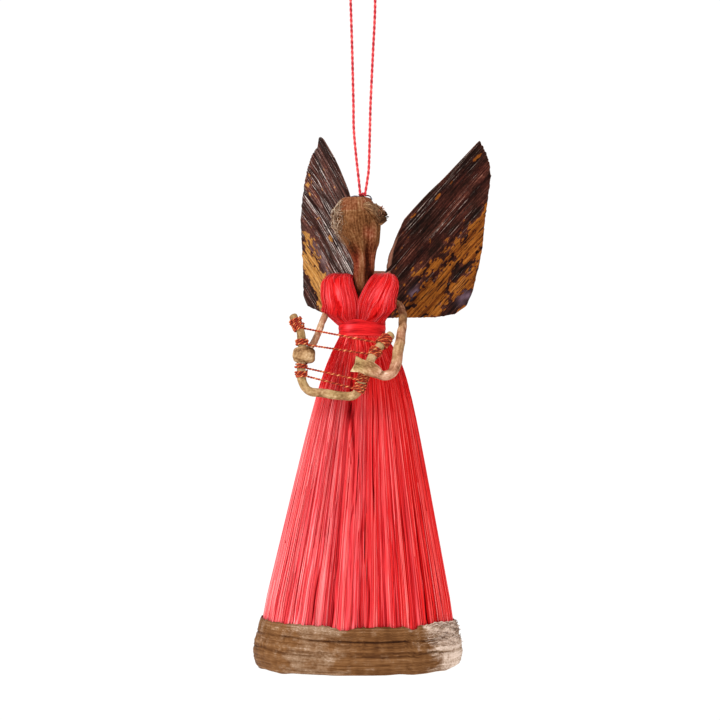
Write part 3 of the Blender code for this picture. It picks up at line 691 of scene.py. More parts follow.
# the two hanks don't lie alike: how much further out the outer edge is low down and at the chest, how much
# further out the inner edge is at the top, and how far the fibres slant outwards on the way up, as a turn
LEFT_LIE = dict(low=1.7, chest=-0.5, parting=0.9, slant=0.75)
RIGHT_LIE = dict(low=3.1, chest=0.5, parting=0.0, slant=0.1)
BACK_REACH = 0.95
# the outer edge over the back, from the lower chest up to the shoulder, as a share of the front's
BACK_NARROWING = [(6.8, 0.66), (9.0, 0.67), (12.0, 0.78), (14.7, 0.88)]
# both lean to her left between their feet and the shoulders
CHEST_SHIFT, SHIFT_FROM, SHIFT_SPAN = 0.7, 4.6, 11.2
HANK_FIBRES = 84
HANK_STRANDS = 110
HANK_SQUARENESS = 0.62
HANK_LOCKS, HANK_SLITS = 17, 43
RED_SISAL = [(0.0, "#560002"), (0.22, "#9c0507"), (0.45, "#cb1112"), (0.7, "#de2827"), (1.0, "#f4625c")]
FADED_SISAL = [(0.0, "#7c080e"), (0.22, "#ae2028"), (0.45, "#d34046"), (0.7, "#e9696e"), (1.0, "#faa2a1")]


def hank_rows():
    """The hank's rows from the front foot over the shoulder to the back foot, all as distances."""
    front = np.array(HANK_FEET + HANK_FRONT)
    back = front * (-1, 1, 1, 1, 1, 1)
    chest = back[len(HANK_FEET) :]
    chest[:, 0] *= BACK_REACH
    chest[:, 3] *= np.interp(chest[:, 1], *np.array(BACK_NARROWING).T)
    return smooth_line(np.vstack([front, [HANK_TOP], back[::-1]]), 9)


def squared(wave):
    """A sine or cosine drawn out towards 1, so that an oval becomes a rounded oblong."""
    return np.sign(wave) * np.abs(wave) ** HANK_SQUARENESS


def hank_points(side, lie, turn, relief):
    """Points on a hank, rows x any number: a rounded oblong across each row, its outer edge bent back.

    place runs from 0 at the inner edge to 1 at the outer one, and proud is how far a point stands off the
    middle of the hank. side is 1 for the left hank and -1 for the right one. lie widens its front.
    """
    form = hank_rows()
    y, rise, inner, outer, half_thickness, bend = (values[:, None] for values in form.T)
    outer = outer + (lie["low"] * bump(rise, 5.2, 2.0) + lie["chest"] * bump(rise, 10.5, 2.6)) * (y < 0)
    inner = inner + lie["parting"] * bump(rise, 15.5, 3.0) * (y < 1)
    shift = CHEST_SHIFT * np.sin(math.pi * (rise - SHIFT_FROM) / SHIFT_SPAN) * (rise > SHIFT_FROM)
    run = np.gradient(form[:, :2], axis=0)
    run /= np.linalg.norm(run, axis=1, keepdims=True)
    run[0], run[-1] = (0, 1), (0, -1)
    relief = relief * ramp(outer - inner, 0, 9)
    place = 0.5 + 0.5 * squared(np.cos(turn))
    x = side * (inner + (outer - inner) * place + relief * np.cos(turn)) + shift
    proud = (half_thickness + relief) * squared(np.sin(turn)) - bend * place**2
    return np.stack([x, y - proud * run[:, 1:], WAIST + rise + proud * run[:, :1]], axis=-1)


hank_rise = hank_rows()[:, 1:2]
along = np.linspace(0, 1, len(hank_rise))[:, None]
turn = ring_turns(3 * HANK_FIBRES)[None, :]
for name, side, lie, seed in (
    ("shoulder_hank_left", 1, LEFT_LIE, 51), ("shoulder_hank_right", -1, RIGHT_LIE, 52),
):
    slant = lie["slant"] * np.minimum(2.2 * along, 1)
    fibre_turn = turn + slant * np.clip(3 * np.sin(turn), 0, 1)
    wander = 2.0 * (patchy_round(turn, 8, along * 6, seed) - 0.5)
    ridge, own_tone = fibre_rows(steps_round(fibre_turn, HANK_FIBRES) + wander, seed + 10, HANK_FIBRES)
    lock = uneven(steps_round(fibre_turn, HANK_LOCKS) + 0.4 * wander, seed + 20, HANK_LOCKS)
    # slits: thin gaps that open between fibres here and there, which the tone darkens as painted shade
    slit_place = steps_round(fibre_turn, HANK_SLITS) + 0.3 * wander
    slit_strength = np.clip(4 * patchy(np.round(slit_place) * 1.37, along * 12, seed + 30) - 2.0, 0, 1)
    slit = bump(slit_place, np.round(slit_place), 0.10) * slit_strength
    relief = 0.16 * (ridge - 0.7) + 0.14 * (lock - 0.5) - 0.10 * slit
    # the tone is darker in the slits and at both edges of the hank: painted shade
    tone = 0.41 + 0.38 * (own_tone - 0.5) + 0.22 * (ridge - 0.5) - 0.20 * slit
    tone = tone - 0.14 * np.abs(np.cos(turn)) ** 6
    # the paler second colour in a band across the chest, where the hank bulges forward, is a painted
    # highlight
    hank = skin(
        name + "_fibre",
        plant_fibre("red sisal of " + name, RED_SISAL, FADED_SISAL, 0.45, (260.0, 5.0), 0.03, contrast=0.7),
        hank_points(side, lie, turn, relief),
        tone=np.clip(tone - 0.12 * bump(hank_rise, 16.5, 2.2), 0, 1),
        second=np.clip(bump(hank_rise, 10.8, 2.4) * (own_tone - 0.2) + 0.3 * (lock - 0.5), 0, 1),
    )
    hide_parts(name)

    # single fibres over the front of the hank, a few of them standing off it
    chance = np.random.default_rng(seed + 40)
    strand_turn = chance.uniform(0.02, 1.15, (1, HANK_STRANDS)) * math.pi - slant
    sway = patchy(along * 4, np.arange(HANK_STRANDS)[None, :] * 1.7, seed + 50) - 0.5
    strand_turn = strand_turn + 0.35 * sway
    proud = 0.06 + chance.uniform(0, 1, (1, HANK_STRANDS)) ** 6 * 0.5 * np.sin(math.pi * along)
    routes = hank_points(side, lie, strand_turn, proud)[3:-3:3].transpose(1, 0, 2)
    strays = skin(
        name + "_strands",
        plant_fibre("single fibres of " + name, RED_SISAL, FADED_SISAL, 0.45, (1.0, 9.0), 0.02, contrast=0.5),
        strands(routes, chance.uniform(0.03, 0.06, (HANK_STRANDS, 1)), (1.0, 0.0, 0.05)),
        tone=chance.uniform(0.30, 0.78, (HANK_STRANDS, 1, 1)),
        second=chance.uniform(-0.4, 0.9, (HANK_STRANDS, 1, 1)).clip(0, 1),
    )


# Skirt: long red-dyed sisal, tied at the waist and spread to an open cone. The fibres lie in uneven
# locks with dark gaps, and stray ones cross just below the waist.

# the half sizes at the waist, what the flare below it adds, and what each millimetre of drop adds
NECK_HALF_WIDTH, NECK_HALF_DEPTH, NECK_RISE = 6.1, 5.1, 1.8
FLARE_WIDTH, FLARE_DEPTH, FLARE_DROP = 3.9, 2.6, 7.5
SPREAD_WIDTH, SPREAD_DEPTH = 0.2145, 0.160
SKIRT_SHIFT, SHIFT_DROP, SKIRT_LEAN = 1.0, 4.0, 0.030
SKIRT_WALL = 1.6
SKIRT_ROWS = 42
SKIRT_FIBRES = 350
UPPER_FIBRES = 130
SKIRT_LOCKS = 64
SKIRT_FADED_LOCKS = 31
HEM_HEIGHT = 12.7
HEM_OVERHANG = 2.0
CAVITY_TOP = 83.0
CAVITY_HEIGHTS = [HEM_OVERHANG, HEM_HEIGHT, 40, 60, CAVITY_TOP - 3]
# the deep gap down the front: its turn in degrees, half its width in degrees and its depth, by height
CLEFT = [(40.0, -84.5), (46.0, -85.0), (57.8, -85.5), (65.0, -88.5), (72.0, -93.5), (88.0, -94.0)]
CLEFT_WIDTHS = [(56, 0.9), (64, 1.4), (72, 3.6), (84, 3.9)]
CLEFT_DEPTHS = [(40, 0.0), (56, 0.6), (64, 1.3), (78, 1.1), (86, 0.0)]
# the single fibres: where they start and where most of them end
STRAY_TOP, STRAY_END = 91.5, 11.0


def cleft_at(turn, height):
    """How deep the gap down the front is at a point, from 0 to 1.3: a bump across it, whose middle, width
    and depth follow the height. It is narrow below and wide at its top."""
    middle = np.interp(height, *np.array(CLEFT).T)
    width = np.interp(height, *np.array(CLEFT_WIDTHS).T)
    depth = np.interp(height, *np.array(CLEFT_DEPTHS).T)
    return depth * bump(np.degrees((turn + math.pi) % (2 * math.pi) - math.pi), middle, width)


def skirt_point(turn, height, out=0.0):
    """A point on the skirt: an oval whose half sizes flare by 1 - e^(-drop / 7.5) and spread evenly."""
    drop = WAIST - np.maximum(height, HEM_HEIGHT)
    drop = np.maximum(drop, 0)
    flare = 1 - np.exp(-drop / FLARE_DROP)
    width = NECK_HALF_WIDTH + FLARE_WIDTH * flare + SPREAD_WIDTH * drop + out
    depth = NECK_HALF_DEPTH + FLARE_DEPTH * flare + SPREAD_DEPTH * drop + out
    x = SKIRT_SHIFT * (1 - np.exp(-drop / SHIFT_DROP)) - SKIRT_LEAN * drop + width * np.cos(turn)
    return points_at(x, depth * np.sin(turn), height)


turn = ring_turns(4 * SKIRT_FIBRES)[None, :]
fall = np.linspace(0, 1, SKIRT_ROWS) ** 1.25
height = np.concatenate([[WAIST + NECK_RISE], WAIST - fall * (WAIST - HEM_HEIGHT), [HEM_OVERHANG]])[:, None]
wander = 4.6 * (patchy_round(turn, 22, height / 18, 61) - 0.5)
wander = wander + 1.3 * (patchy_round(turn, 70, height / 8, 67) - 0.5)
fine_ridge, fine_tone = fibre_rows(steps_round(turn, SKIRT_FIBRES) + wander, 62, SKIRT_FIBRES)
full_ridge, full_tone = fibre_rows(steps_round(turn, UPPER_FIBRES) + 0.5 * wander, 66, UPPER_FIBRES)
spread = ramp(height, WAIST - 8, -45)
ridge = full_ridge * (1 - spread) + fine_ridge * spread
own_tone = full_tone * (1 - spread) + fine_tone * spread
# the fibres lie in locks, each with its own height and tone, and here and there a gap runs between two
lock_place = steps_round(turn, SKIRT_LOCKS) + 0.35 * wander
lock = uneven(lock_place, 63, SKIRT_LOCKS)
lock_tone = uneven(steps_round(turn, SKIRT_FADED_LOCKS) + 0.2 * wander, 64, SKIRT_FADED_LOCKS)
gap_strength = np.clip(4 * (patchy(np.round(lock_place) * 1.37, height / 26, 65) - 0.52), 0, 1)
gap = bump(lock_place, np.round(lock_place), 0.11) * gap_strength
cleft = cleft_at(turn, height)
girth = np.interp(height, [HEM_HEIGHT, WAIST], [1.0, 0.30])
relief = girth * (0.32 * (ridge - 0.9) + 0.32 * (lock - 0.5) - 0.45 * gap) - 0.9 * cleft
outer = skirt_point(turn, height, relief)
inner = skirt_point(turn, np.array(CAVITY_HEIGHTS)[:, None], -SKIRT_WALL)
ceiling = skirt_point(turn, np.array([[CAVITY_TOP]]), -2 * SKIRT_WALL)
# the tone is lighter towards the waist, a painted light against the shade under the band, hanks and lyre,
# and darker in the gaps and the cleft down the front, which is painted shade. The paler second colour is
# dye faded towards the hem and less near the waist, and a painted highlight on her right side, where the
# light falls
upper = ramp(height, 66, 14)
middle = ramp(height, 45, 15)
skirt_tone = 0.50 + 0.46 * (own_tone - 0.5) + 0.26 * (ridge - 0.5) + 0.20 * (lock_tone - 0.5)
skirt_tone = skirt_tone - (0.65 - 0.2 * upper) * gap - 0.5 * cleft + 0.37 * upper + 0.07 * middle
faded_and_lit = 0.48 - 0.50 * np.cos(turn) + 0.4 * (lock_tone - 0.5) + 0.50 * (1 - height / WAIST) - 0.6 * gap
faded_and_lit = faded_and_lit - 0.6 * ramp(height, 72, 12)
# the inside of the cone has a dark tone and none of the second colour: painted shade inside the skirt
inside = np.repeat(0.1 + 0.3 * fine_tone[:1], len(inner) + 1, axis=0)
skirt = skin(
    "skirt_fibre",
    plant_fibre("red sisal of the skirt", RED_SISAL, FADED_SISAL, 0.5, (480.0, 5.0), 0.02, contrast=0.8),
    np.concatenate([outer, inner, ceiling]),
    tone=np.clip(np.concatenate([skirt_tone, inside]), 0, 1),
    second=np.clip(np.concatenate([faded_and_lit, 0 * inside]), 0, 1),
)
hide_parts("skirt")

# single fibres that lie over the locks from the waist down, most of them as far as the hem
count, rows = 640, 14
chance = np.random.default_rng(71)
along = np.linspace(0, 1, rows)[None, :]
start_turn = ring_turns(count)[:, None] + chance.normal(0, 0.02, (count, 1))
drift = np.radians(chance.normal(0, 3.0, (count, 1)))
stray_turn = start_turn + drift * along**0.8
low = np.where(chance.random((count, 1)) < 0.8, STRAY_END, chance.uniform(20, 60, (count, 1)))
stray_height = STRAY_TOP - (STRAY_TOP - low) * along**1.3
stray_out = 0.03 + 0.16 * (1 - np.exp(-8 * along)) * (0.6 + chance.uniform(0, 0.8, (count, 1)))
stray_cleft = cleft_at(stray_turn, stray_height)
stray_upper = ramp(stray_height, 70, 14)
thick = 0.03 + 0.11 * along * chance.uniform(0.6, 1.2, (count, 1))
stray_look = plant_fibre("single fibres of the skirt", RED_SISAL, FADED_SISAL, 0.45, (1.0, 5.0), gloss=0.02)
# the single fibres are darker in the front cleft, which is painted shade, and paler on her right side, a
# painted highlight where the light falls
strays = skin(
    "skirt_stray_fibres",
    stray_look,
    strands(skirt_point(stray_turn, stray_height, stray_out - 1.2 * stray_cleft), thick),
    tone=(0.25 + chance.uniform(0, 0.7, (count, 1)) * (1 - 0.5 * stray_upper) - 0.6 * stray_cleft)[..., None],
    second=np.clip(
        0.45 - 0.40 * np.cos(stray_turn) + chance.normal(0, 0.2, (count, 1)) - 0.8 * stray_upper, 0, 1,
    )[..., None],
)

# shorter ones that cross them at a slant just below the waist
count, rows = 90, 12
along = np.linspace(0, 1, rows)[None, :]
start_turn = chance.uniform(0, 2 * math.pi, (count, 1))
drift = np.radians(chance.choice([-1, 1], (count, 1)) * chance.uniform(10, 32, (count, 1)))
cross_height = 91.8 - chance.uniform(9, 22, (count, 1)) * along
crossing = skin(
    "skirt_crossing_fibres",
    stray_look,
    strands(
        skirt_point(start_turn + drift * along, cross_height, 0.1 + 0.2 * np.sin(math.pi * along)), 0.06,
    ),
    tone=chance.uniform(0.3, 0.7, (count, 1, 1)),
    second=chance.uniform(0.0, 0.3, (count, 1, 1)),
)


# Waist band: a flat red band of dyed fibre, folded lengthways and tied round the waist over the feet of
# the hanks and the top of the skirt.

BAND_HEIGHT = 4.3
BAND_GAP = 0.15
BAND_THICKNESS = 0.35
BAND_STEPS = 200
# where the painted highlight on the band is strongest: at the front on her right, where the light falls
BAND_HIGHLIGHT_TURN = math.radians(248)
# the band cut through: (how far out, how far up), as shares of its thickness and its height
BAND_PROFILE = [
    (0, 0.03), (0, 0.5), (0, 0.97), (0.35, 1.03), (0.85, 0.99), (1.05, 0.8), (0.95, 0.62), (1.08, 0.45),
    (1.0, 0.28), (1.06, 0.12), (0.7, -0.02), (0.3, -0.03), (0, 0.03),
]

turn = ring_turns(BAND_STEPS)[:, None]
profile = smooth_line(BAND_PROFILE, 5)[:-1]
across, up = profile[:, 0][None, :], profile[:, 1][None, :]
outside = np.clip(across * 2 - 0.6, 0, 1)
crease = patchy_round(turn, 7, up * 4 + 1.2 * np.sin(turn), 81) - 0.5
thread, own_tone = fibre_rows(up * 22 + 1.5 * patchy_round(turn, 9, up, 82) + 50, 83, 211)
# painted highlights: paler at the front on her right, where the light falls, and painted light along both
# of its edges, against the shade there
lit_side = bump(turn, BAND_HIGHLIGHT_TURN, 0.22) * bump(up, 0.55, 0.4)
lit_edges = 0.22 * (bump(up, 0.0, 0.1) + bump(up, 1.0, 0.1))
out = BAND_GAP + BAND_THICKNESS * across + outside * (0.22 * crease + 0.05 * thread)
band_rings = points_at(
    (NECK_HALF_WIDTH + out) * np.cos(turn), (NECK_HALF_DEPTH + out) * np.sin(turn),
    WAIST + BAND_HEIGHT * up + 0.12 * np.sin(3 * turn),
)
band = skin(
    "waist_band_fibre",
    plant_fibre("red ribbon fibre", RED_SISAL, FADED_SISAL, 0.5, (30.0, 12.0), 0.05, contrast=0.3),
    band_rings,
    looped=True,
    tone=np.clip(0.17 + 0.20 * own_tone + 0.30 * crease + 0.12 * lit_side + lit_edges, 0, 1),
    second=0.12 + 0.6 * lit_side,
)
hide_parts("waist_band")


# Hem band: brown dry leaf sheath wound round the skirt's lower edge, creased twice along its length and
# torn into waves along its top. One end laps over at the front on her left. From there to her left side
# its silvery skin is still on, and peels off in pale shreds.

HEM_GAP = 0.3
HEM_THICKNESS = 1.2
HEM_BULGE = 0.42
HEM_STEPS = 520
# the band cut through: (how far out, how far up), as shares of its thickness and its height
HEM_PROFILE = [
    (0, 0.05), (0, 0.5), (0, 0.97), (0.15, 1.0), (0.40, 0.96), (0.70, 0.86), (0.92, 0.75), (1.25, 0.62),
    (1.55, 0.46), (1.62, 0.3), (1.5, 0.14), (1.1, 0.03), (0.5, 0.0), (0, 0.05),
]
# waves of the upper edge: (height, middle and width in degrees)
HEM_WAVES = [(-1.1, -85.6, 5.5), (0.5, -20, 22), (0.5, 120, 30), (-0.6, 60, 12)]
CREASE_HEIGHTS = (9.2, 5.4)
# where the lapped end stops, and where its pale skin ends, in degrees: 0 is her left and -90 the front
LAP_TURN, PALE_END = -41.5, 25
# the rows of the band's rings, along its outer side, that the shreds may lie on
SHRED_ROWS = (19, 46)
BROWN_SHEATH = [(0.0, "#1a0b05"), (0.25, "#3a1f0d"), (0.5, "#5b391d"), (0.75, "#775232"), (1.0, "#a0805c")]
SHEATH_BLOOM = [(0.0, "#432b1a"), (0.3, "#684c35"), (0.6, "#896e57"), (1.0, "#c8b2a2")]
PALE_SHREDS = [(0.0, "#6b5040"), (0.4, "#a58874"), (0.7, "#c9b09f"), (1.0, "#e6d4c8")]


def leaf_sheath(name, stops, bloom_stops, roughness, veins, crackle):
    """Dry leaf sheath. The eye sees a leathery brown skin with fine veins and a silvery bloom in places.

    The veins and creases come with the mesh as tone, the creases darkened as painted shade. bloom says where
    the pale skin is left, and paleness how pale it is there: bleached in places, and a painted highlight at
    one end. Finer veins, about 0.35 mm apart, run along the sheath, and the pale skin is crazed across
    them. veins and crackle say how many of each go across the sheath and along it.
    """
    look = new_look(name)
    tone = node(look, "Attribute", attribute_name="tone")
    bloom = node(look, "Attribute", attribute_name="bloom")
    paleness = node(look, "Attribute", attribute_name="paleness")
    uv = node(look, "UVMap", uv_map="round and along")
    lie = node(look, "Mapping", {"Vector": uv["UV"], "Scale": (*veins, 1.0)})
    vein = node(look, "TexNoise", {"Vector": lie["Vector"], "Scale": 1.0, "Detail": 5.0, "Roughness": 0.65})
    across = node(look, "Mapping", {"Vector": uv["UV"], "Scale": (*crackle, 1.0)})
    craze = node(look, "TexNoise", {
        "Vector": across["Vector"], "Scale": 1.0, "Detail": 3.0, "Roughness": 0.6,
    })
    # the veined brown below, and the crazed pale skin on it
    mixed = node(look, "Math", {0: vein["Fac"], 1: 0.9, 2: tone["Fac"]}, operation="MULTIPLY_ADD")
    centred = node(look, "Math", {0: mixed["Value"], 1: 0.45}, operation="SUBTRACT")
    brown = node(look, "ValToRGB", {"Fac": centred["Value"]}, stops=stops)
    crazed = node(look, "Math", {0: craze["Fac"], 1: 0.9, 2: centred["Value"]}, operation="MULTIPLY_ADD")
    bleach_and_highlight = node(look, "Math", {0: crazed["Value"], 1: paleness["Fac"]})
    lit = node(look, "MapRange", {"Value": bleach_and_highlight["Value"], "From Min": 0.35, "From Max": 1.55})
    silver = node(look, "ValToRGB", {"Fac": lit["Result"]}, stops=bloom_stops)
    # the pale skin ends in flakes, where the bloom and its own cracks together are low
    flaked = node(look, "Math", {0: crazed["Value"], 1: 0.5, 2: bloom["Fac"]}, operation="MULTIPLY_ADD")
    where = node(look, "MapRange", {"Value": flaked["Value"], "From Min": 0.60, "From Max": 1.35})
    pale = node(look, "Mix", {
        "Factor": where["Result"], 6: brown["Color"], 7: silver["Color"],
    }, data_type="RGBA")
    raised = node(look, "Bump", {"Height": crazed["Value"], "Strength": 0.5, "Distance": 0.00012})
    shader = node(look, "BsdfPrincipled", {
        "Base Color": pale[2], "Normal": raised["Normal"], "Roughness": roughness,
        "Specular IOR Level": 0.04,
    })
    node(look, "OutputMaterial", {"Surface": shader["BSDF"]})
    return look


turn = ring_turns(HEM_STEPS)[:, None]
degrees = np.degrees((turn + math.pi) % (2 * math.pi) - math.pi)
profile = smooth_line(HEM_PROFILE, 6)[:-1]
across, up = profile[:, 0][None, :], profile[:, 1][None, :]
outside = np.clip(across * 2.2 - 1.0, 0, 1)
# the upper and lower edges, and the height of each point between them
top = HEM_HEIGHT + 0.35 * (uneven(degrees / 7, 91) - 0.5) + 0.35 * (uneven(degrees / 1.7, 92) - 0.5)
top = top - (degrees < LAP_TURN) * bump(degrees, -44, 5)
for high, middle, width in HEM_WAVES:
    top = top + high * bump(degrees, middle, width)
low = 0.6 * (np.cos(turn) - 1) + 0.14 * (1 + np.sin(4 * turn + 1)) + 0.45 * uneven(degrees / 9, 93)
hem_height = low + (top - low) * up
veins = uneven(hem_height * 3.4 + 1.4 * patchy(degrees / 14, hem_height / 3, 94), 95)
fine_veins = uneven(hem_height * 8.5 + 2 * patchy(degrees / 9, hem_height / 2, 96), 97)
creases = 0
for k, crease_height in enumerate(CREASE_HEIGHTS):
    wave = crease_height + 0.9 * (uneven(degrees / 17 + 40 * k, 98) - 0.5)
    strength = 0.4 + 0.6 * uneven(degrees / 11 + 70 * k, 99)
    creases = creases + strength * bump(hem_height, wave, 0.22)
pucker = patchy(degrees / 2.1, hem_height / 2.2, 100) - 0.5
near_top = ramp(up, 0.72, 0.2)
lapped = (degrees > LAP_TURN) & (degrees < PALE_END)
lap = 0.35 * lapped * ramp(up, 0.7, 0.06)
relief = 0.22 * (veins - 0.5) + 0.14 * (fine_veins - 0.5) - 0.42 * creases
relief = relief + (0.15 + 0.3 * near_top) * pucker + lap
bulge = HEM_BULGE * outside * bump(up, 0.35, 0.3)
out = HEM_GAP + HEM_THICKNESS * across + bulge + outside * relief
hem_rings = skirt_point(turn, HEM_HEIGHT, out)
hem_rings[..., 2] = hem_height
# the silvery skin is left at both ends of the front and in scraps elsewhere
silver = patchy(degrees / 8, hem_height / 2.6, 101) - 0.5
flake = patchy(degrees / 3.3, hem_height / 0.9, 102) - 0.5
right_bloom = 0.52 * ramp(degrees + 14 * flake, -130, 16)
right_bloom = right_bloom * ramp(degrees - 14 * flake, -80, -18)
right_bloom = right_bloom - 0.35 * bump(degrees, -118, 8) * bump(up, 0.62, 0.1)
left_start = -49 + 8 * ramp(up, 0.55, -0.3) + 26 * flake
left_bloom = 0.95 * ramp(degrees, left_start, 26) * ramp(degrees, PALE_END, -25)
bloom = -0.03 + 0.5 * silver + 0.3 * flake + right_bloom + left_bloom + 0.25 * bump(degrees, 150, 30)
bloom = bloom + (0.2 + 1.6 * flake) * near_top * bump(degrees, -33, 14)
shaded = 0.10 * ramp(up, 0.35, 0.1) * bump(degrees, -65, 22) - 0.02 * bump(degrees, -125, 30)
# how pale the silvery skin is: the pale end on her left, towards the front, is a painted highlight where the
# light falls, and it is also paler along the top edge
bleach_and_highlight = 0.42 * bump(degrees, -12, 24) - 0.14 * bump(degrees, -105, 35)
bleach_and_highlight = bleach_and_highlight + (0.10 + 0.8 * flake * bump(degrees, -28, 16)) * near_top
# the tone is darker in the creases: painted shade
hem = skin(
    "hem_band_sheath",
    leaf_sheath("dry leaf sheath", BROWN_SHEATH, SHEATH_BLOOM, 0.55, (75.0, 18.0), (48.0, 240.0)),
    hem_rings,
    looped=True,
    tone=np.clip(0.36 + 0.24 * veins + 0.20 * fine_veins - 0.45 * creases + 0.15 * pucker - shaded, 0, 1),
    bloom=np.clip(bloom, 0, 1),
    paleness=bleach_and_highlight,
)
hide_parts("hem_band")

# shreds that lie along the band's own surface, from ring to ring, and lift a little from it
chance = np.random.default_rng(103)
count, rows = 150, 9
along = np.arange(rows)[None, :]
ring = np.round(np.radians(chance.uniform(-37, 24, (count, 1))) / (2 * math.pi) * HEM_STEPS) + 2 * along
row = np.round(chance.uniform(20, 44, (count, 1)) + chance.normal(0, 0.4, (count, 1)) * along)
row = np.clip(row, *SHRED_ROWS).astype(int)
lifted = 0.08 + 0.012 * chance.uniform(0, 1, (count, 1)) ** 2 * along**2
shred_turn = ring / HEM_STEPS * 2 * math.pi
away = points_at(np.cos(shred_turn), np.sin(shred_turn), 0) * lifted[..., None]
shreds = skin(
    "hem_band_shreds",
    plant_fibre("pale shreds of leaf sheath", PALE_SHREDS, BROWN_SISAL, 0.6, (1.0, 6.0), gloss=0.03),
    strands(hem_rings[ring.astype(int) % HEM_STEPS, row] + away, 0.07, (0.0, 0.1, 1.0)),
    tone=chance.uniform(0.0, 0.8, (count, 1, 1)),
)


# Wings: two thin blades cut from a dark leaf sheath, so that its veins run along their inner edges. The
# cut edges are pale, the outer skin has come off in ochre patches, and both are fixed behind the waist.

WING_THICKNESS = 0.9
WING_ROOT_DEPTH = 7.9
WING_CURL = 1.8
WING_VEINS = 230
WING_STEPS = 86
# how far a wing is swept back, and how steeply its veins rise along it, in degrees
LEFT_SWEEP, LEFT_SLOPE = 30, 48
RIGHT_SWEEP, RIGHT_SLOPE = 41, 46
ROOT_FROM, ROOT_TO, ROOT_TOP = -1.6, 6.2, 18.5
ROOT_STEPS, ROOT_SIDES = 60, 48
# the outline up the inner edge, over the tip and back along the cut edges: (u, rise above the waist), with u
# measured along the blade from the middle of the back
WING_LEFT_EDGES = [
    (5.1, 18.5), (5.7, 22.5), (7.6, 27.3), (10.3, 33.4), (12.7, 36.0), (17.1, 40.6), (22.5, 45.6),
    (32.7, 56.2), (33.3, 55.6), (35.4, 51.6), (36.4, 46.5), (35.1, 36.4), (33.9, 25.4), (32.7, 20.2),
    (30.9, 13.3), (28.8, 8.7), (25.5, 6.4), (21.0, 5.5), (1.0, 5.0), (1.0, 18.4),
]
WING_RIGHT_EDGES = [
    (4.5, 27.5), (8.0, 35.8), (10.8, 41.3), (15.5, 48.2), (19.2, 53.1), (24.6, 58.3), (26.2, 58.8),
    (27.0, 58.2), (28.4, 55.9), (31.6, 53.8), (33.8, 49.6), (34.9, 44.9), (35.8, 34.8), (35.8, 24.4),
    (34.4, 12.5), (32.2, 9.2), (25.1, 7.0), (14.0, 5.3), (1.0, 5.2), (1.0, 18.5),
]
# the skin of each wing, its reddish mottles, and the flesh below it; the right wing's skin is paler and
# greyer partly as a painted sheen of the light on her right
LEFT_SKIN = [(0.0, "#0a0302"), (0.3, "#1a0c07"), (0.55, "#2a150f"), (0.8, "#40251d"), (1.0, "#705347")]
LEFT_RED = [(0.0, "#160403"), (0.3, "#2e110c"), (0.55, "#452018"), (0.8, "#66392b"), (1.0, "#8e6354")]
LEFT_FLESH = [(0.0, "#2a0f04"), (0.3, "#56290b"), (0.5, "#804816"), (0.75, "#a06428"), (1.0, "#c08b48")]
RIGHT_SKIN_AND_SHEEN = [(0.0, "#150806"), (0.3, "#2b1813"), (0.55, "#432b25"), (0.8, "#674d45"), (1.0, "#a38b81")]
RIGHT_RED = [(0.0, "#1c0807"), (0.3, "#391914"), (0.55, "#583028"), (0.8, "#80554a"), (1.0, "#b69085")]
RIGHT_FLESH = [(0.0, "#3d1c09"), (0.3, "#7a4a20"), (0.5, "#a27138"), (0.75, "#bd9156"), (1.0, "#dcba88")]


def vein_spans(edges, slope, count):
    """Where each of count veins enters and leaves an outline.

    along and across are the outline's points turned to the veins' slope. A vein cuts each side whose two
    ends lie on different sides of it, at the point that splits the side in the ratio of their distances.
    Of four cuts, at the notch above the root, it keeps the last two.
    """
    edges = np.array(edges)
    run = np.array([math.cos(slope), math.sin(slope)])
    along, across = edges @ run, edges @ (run[1], -run[0])
    margin = 0.002 * (across.max() - across.min())
    veins = np.linspace(across.min() + margin, across.max() - margin, count)[:, None]
    next_along, next_across = np.roll(along, -1), np.roll(across, -1)
    cut = (across > veins) != (next_across > veins)
    share = (veins - across) / np.where(next_across == across, 1, next_across - across)
    place = along + share * (next_along - along)
    cuts = np.sort(np.where(cut, place, -np.inf), axis=1)
    return veins, cuts[:, -2:-1], cuts[:, -1:], run


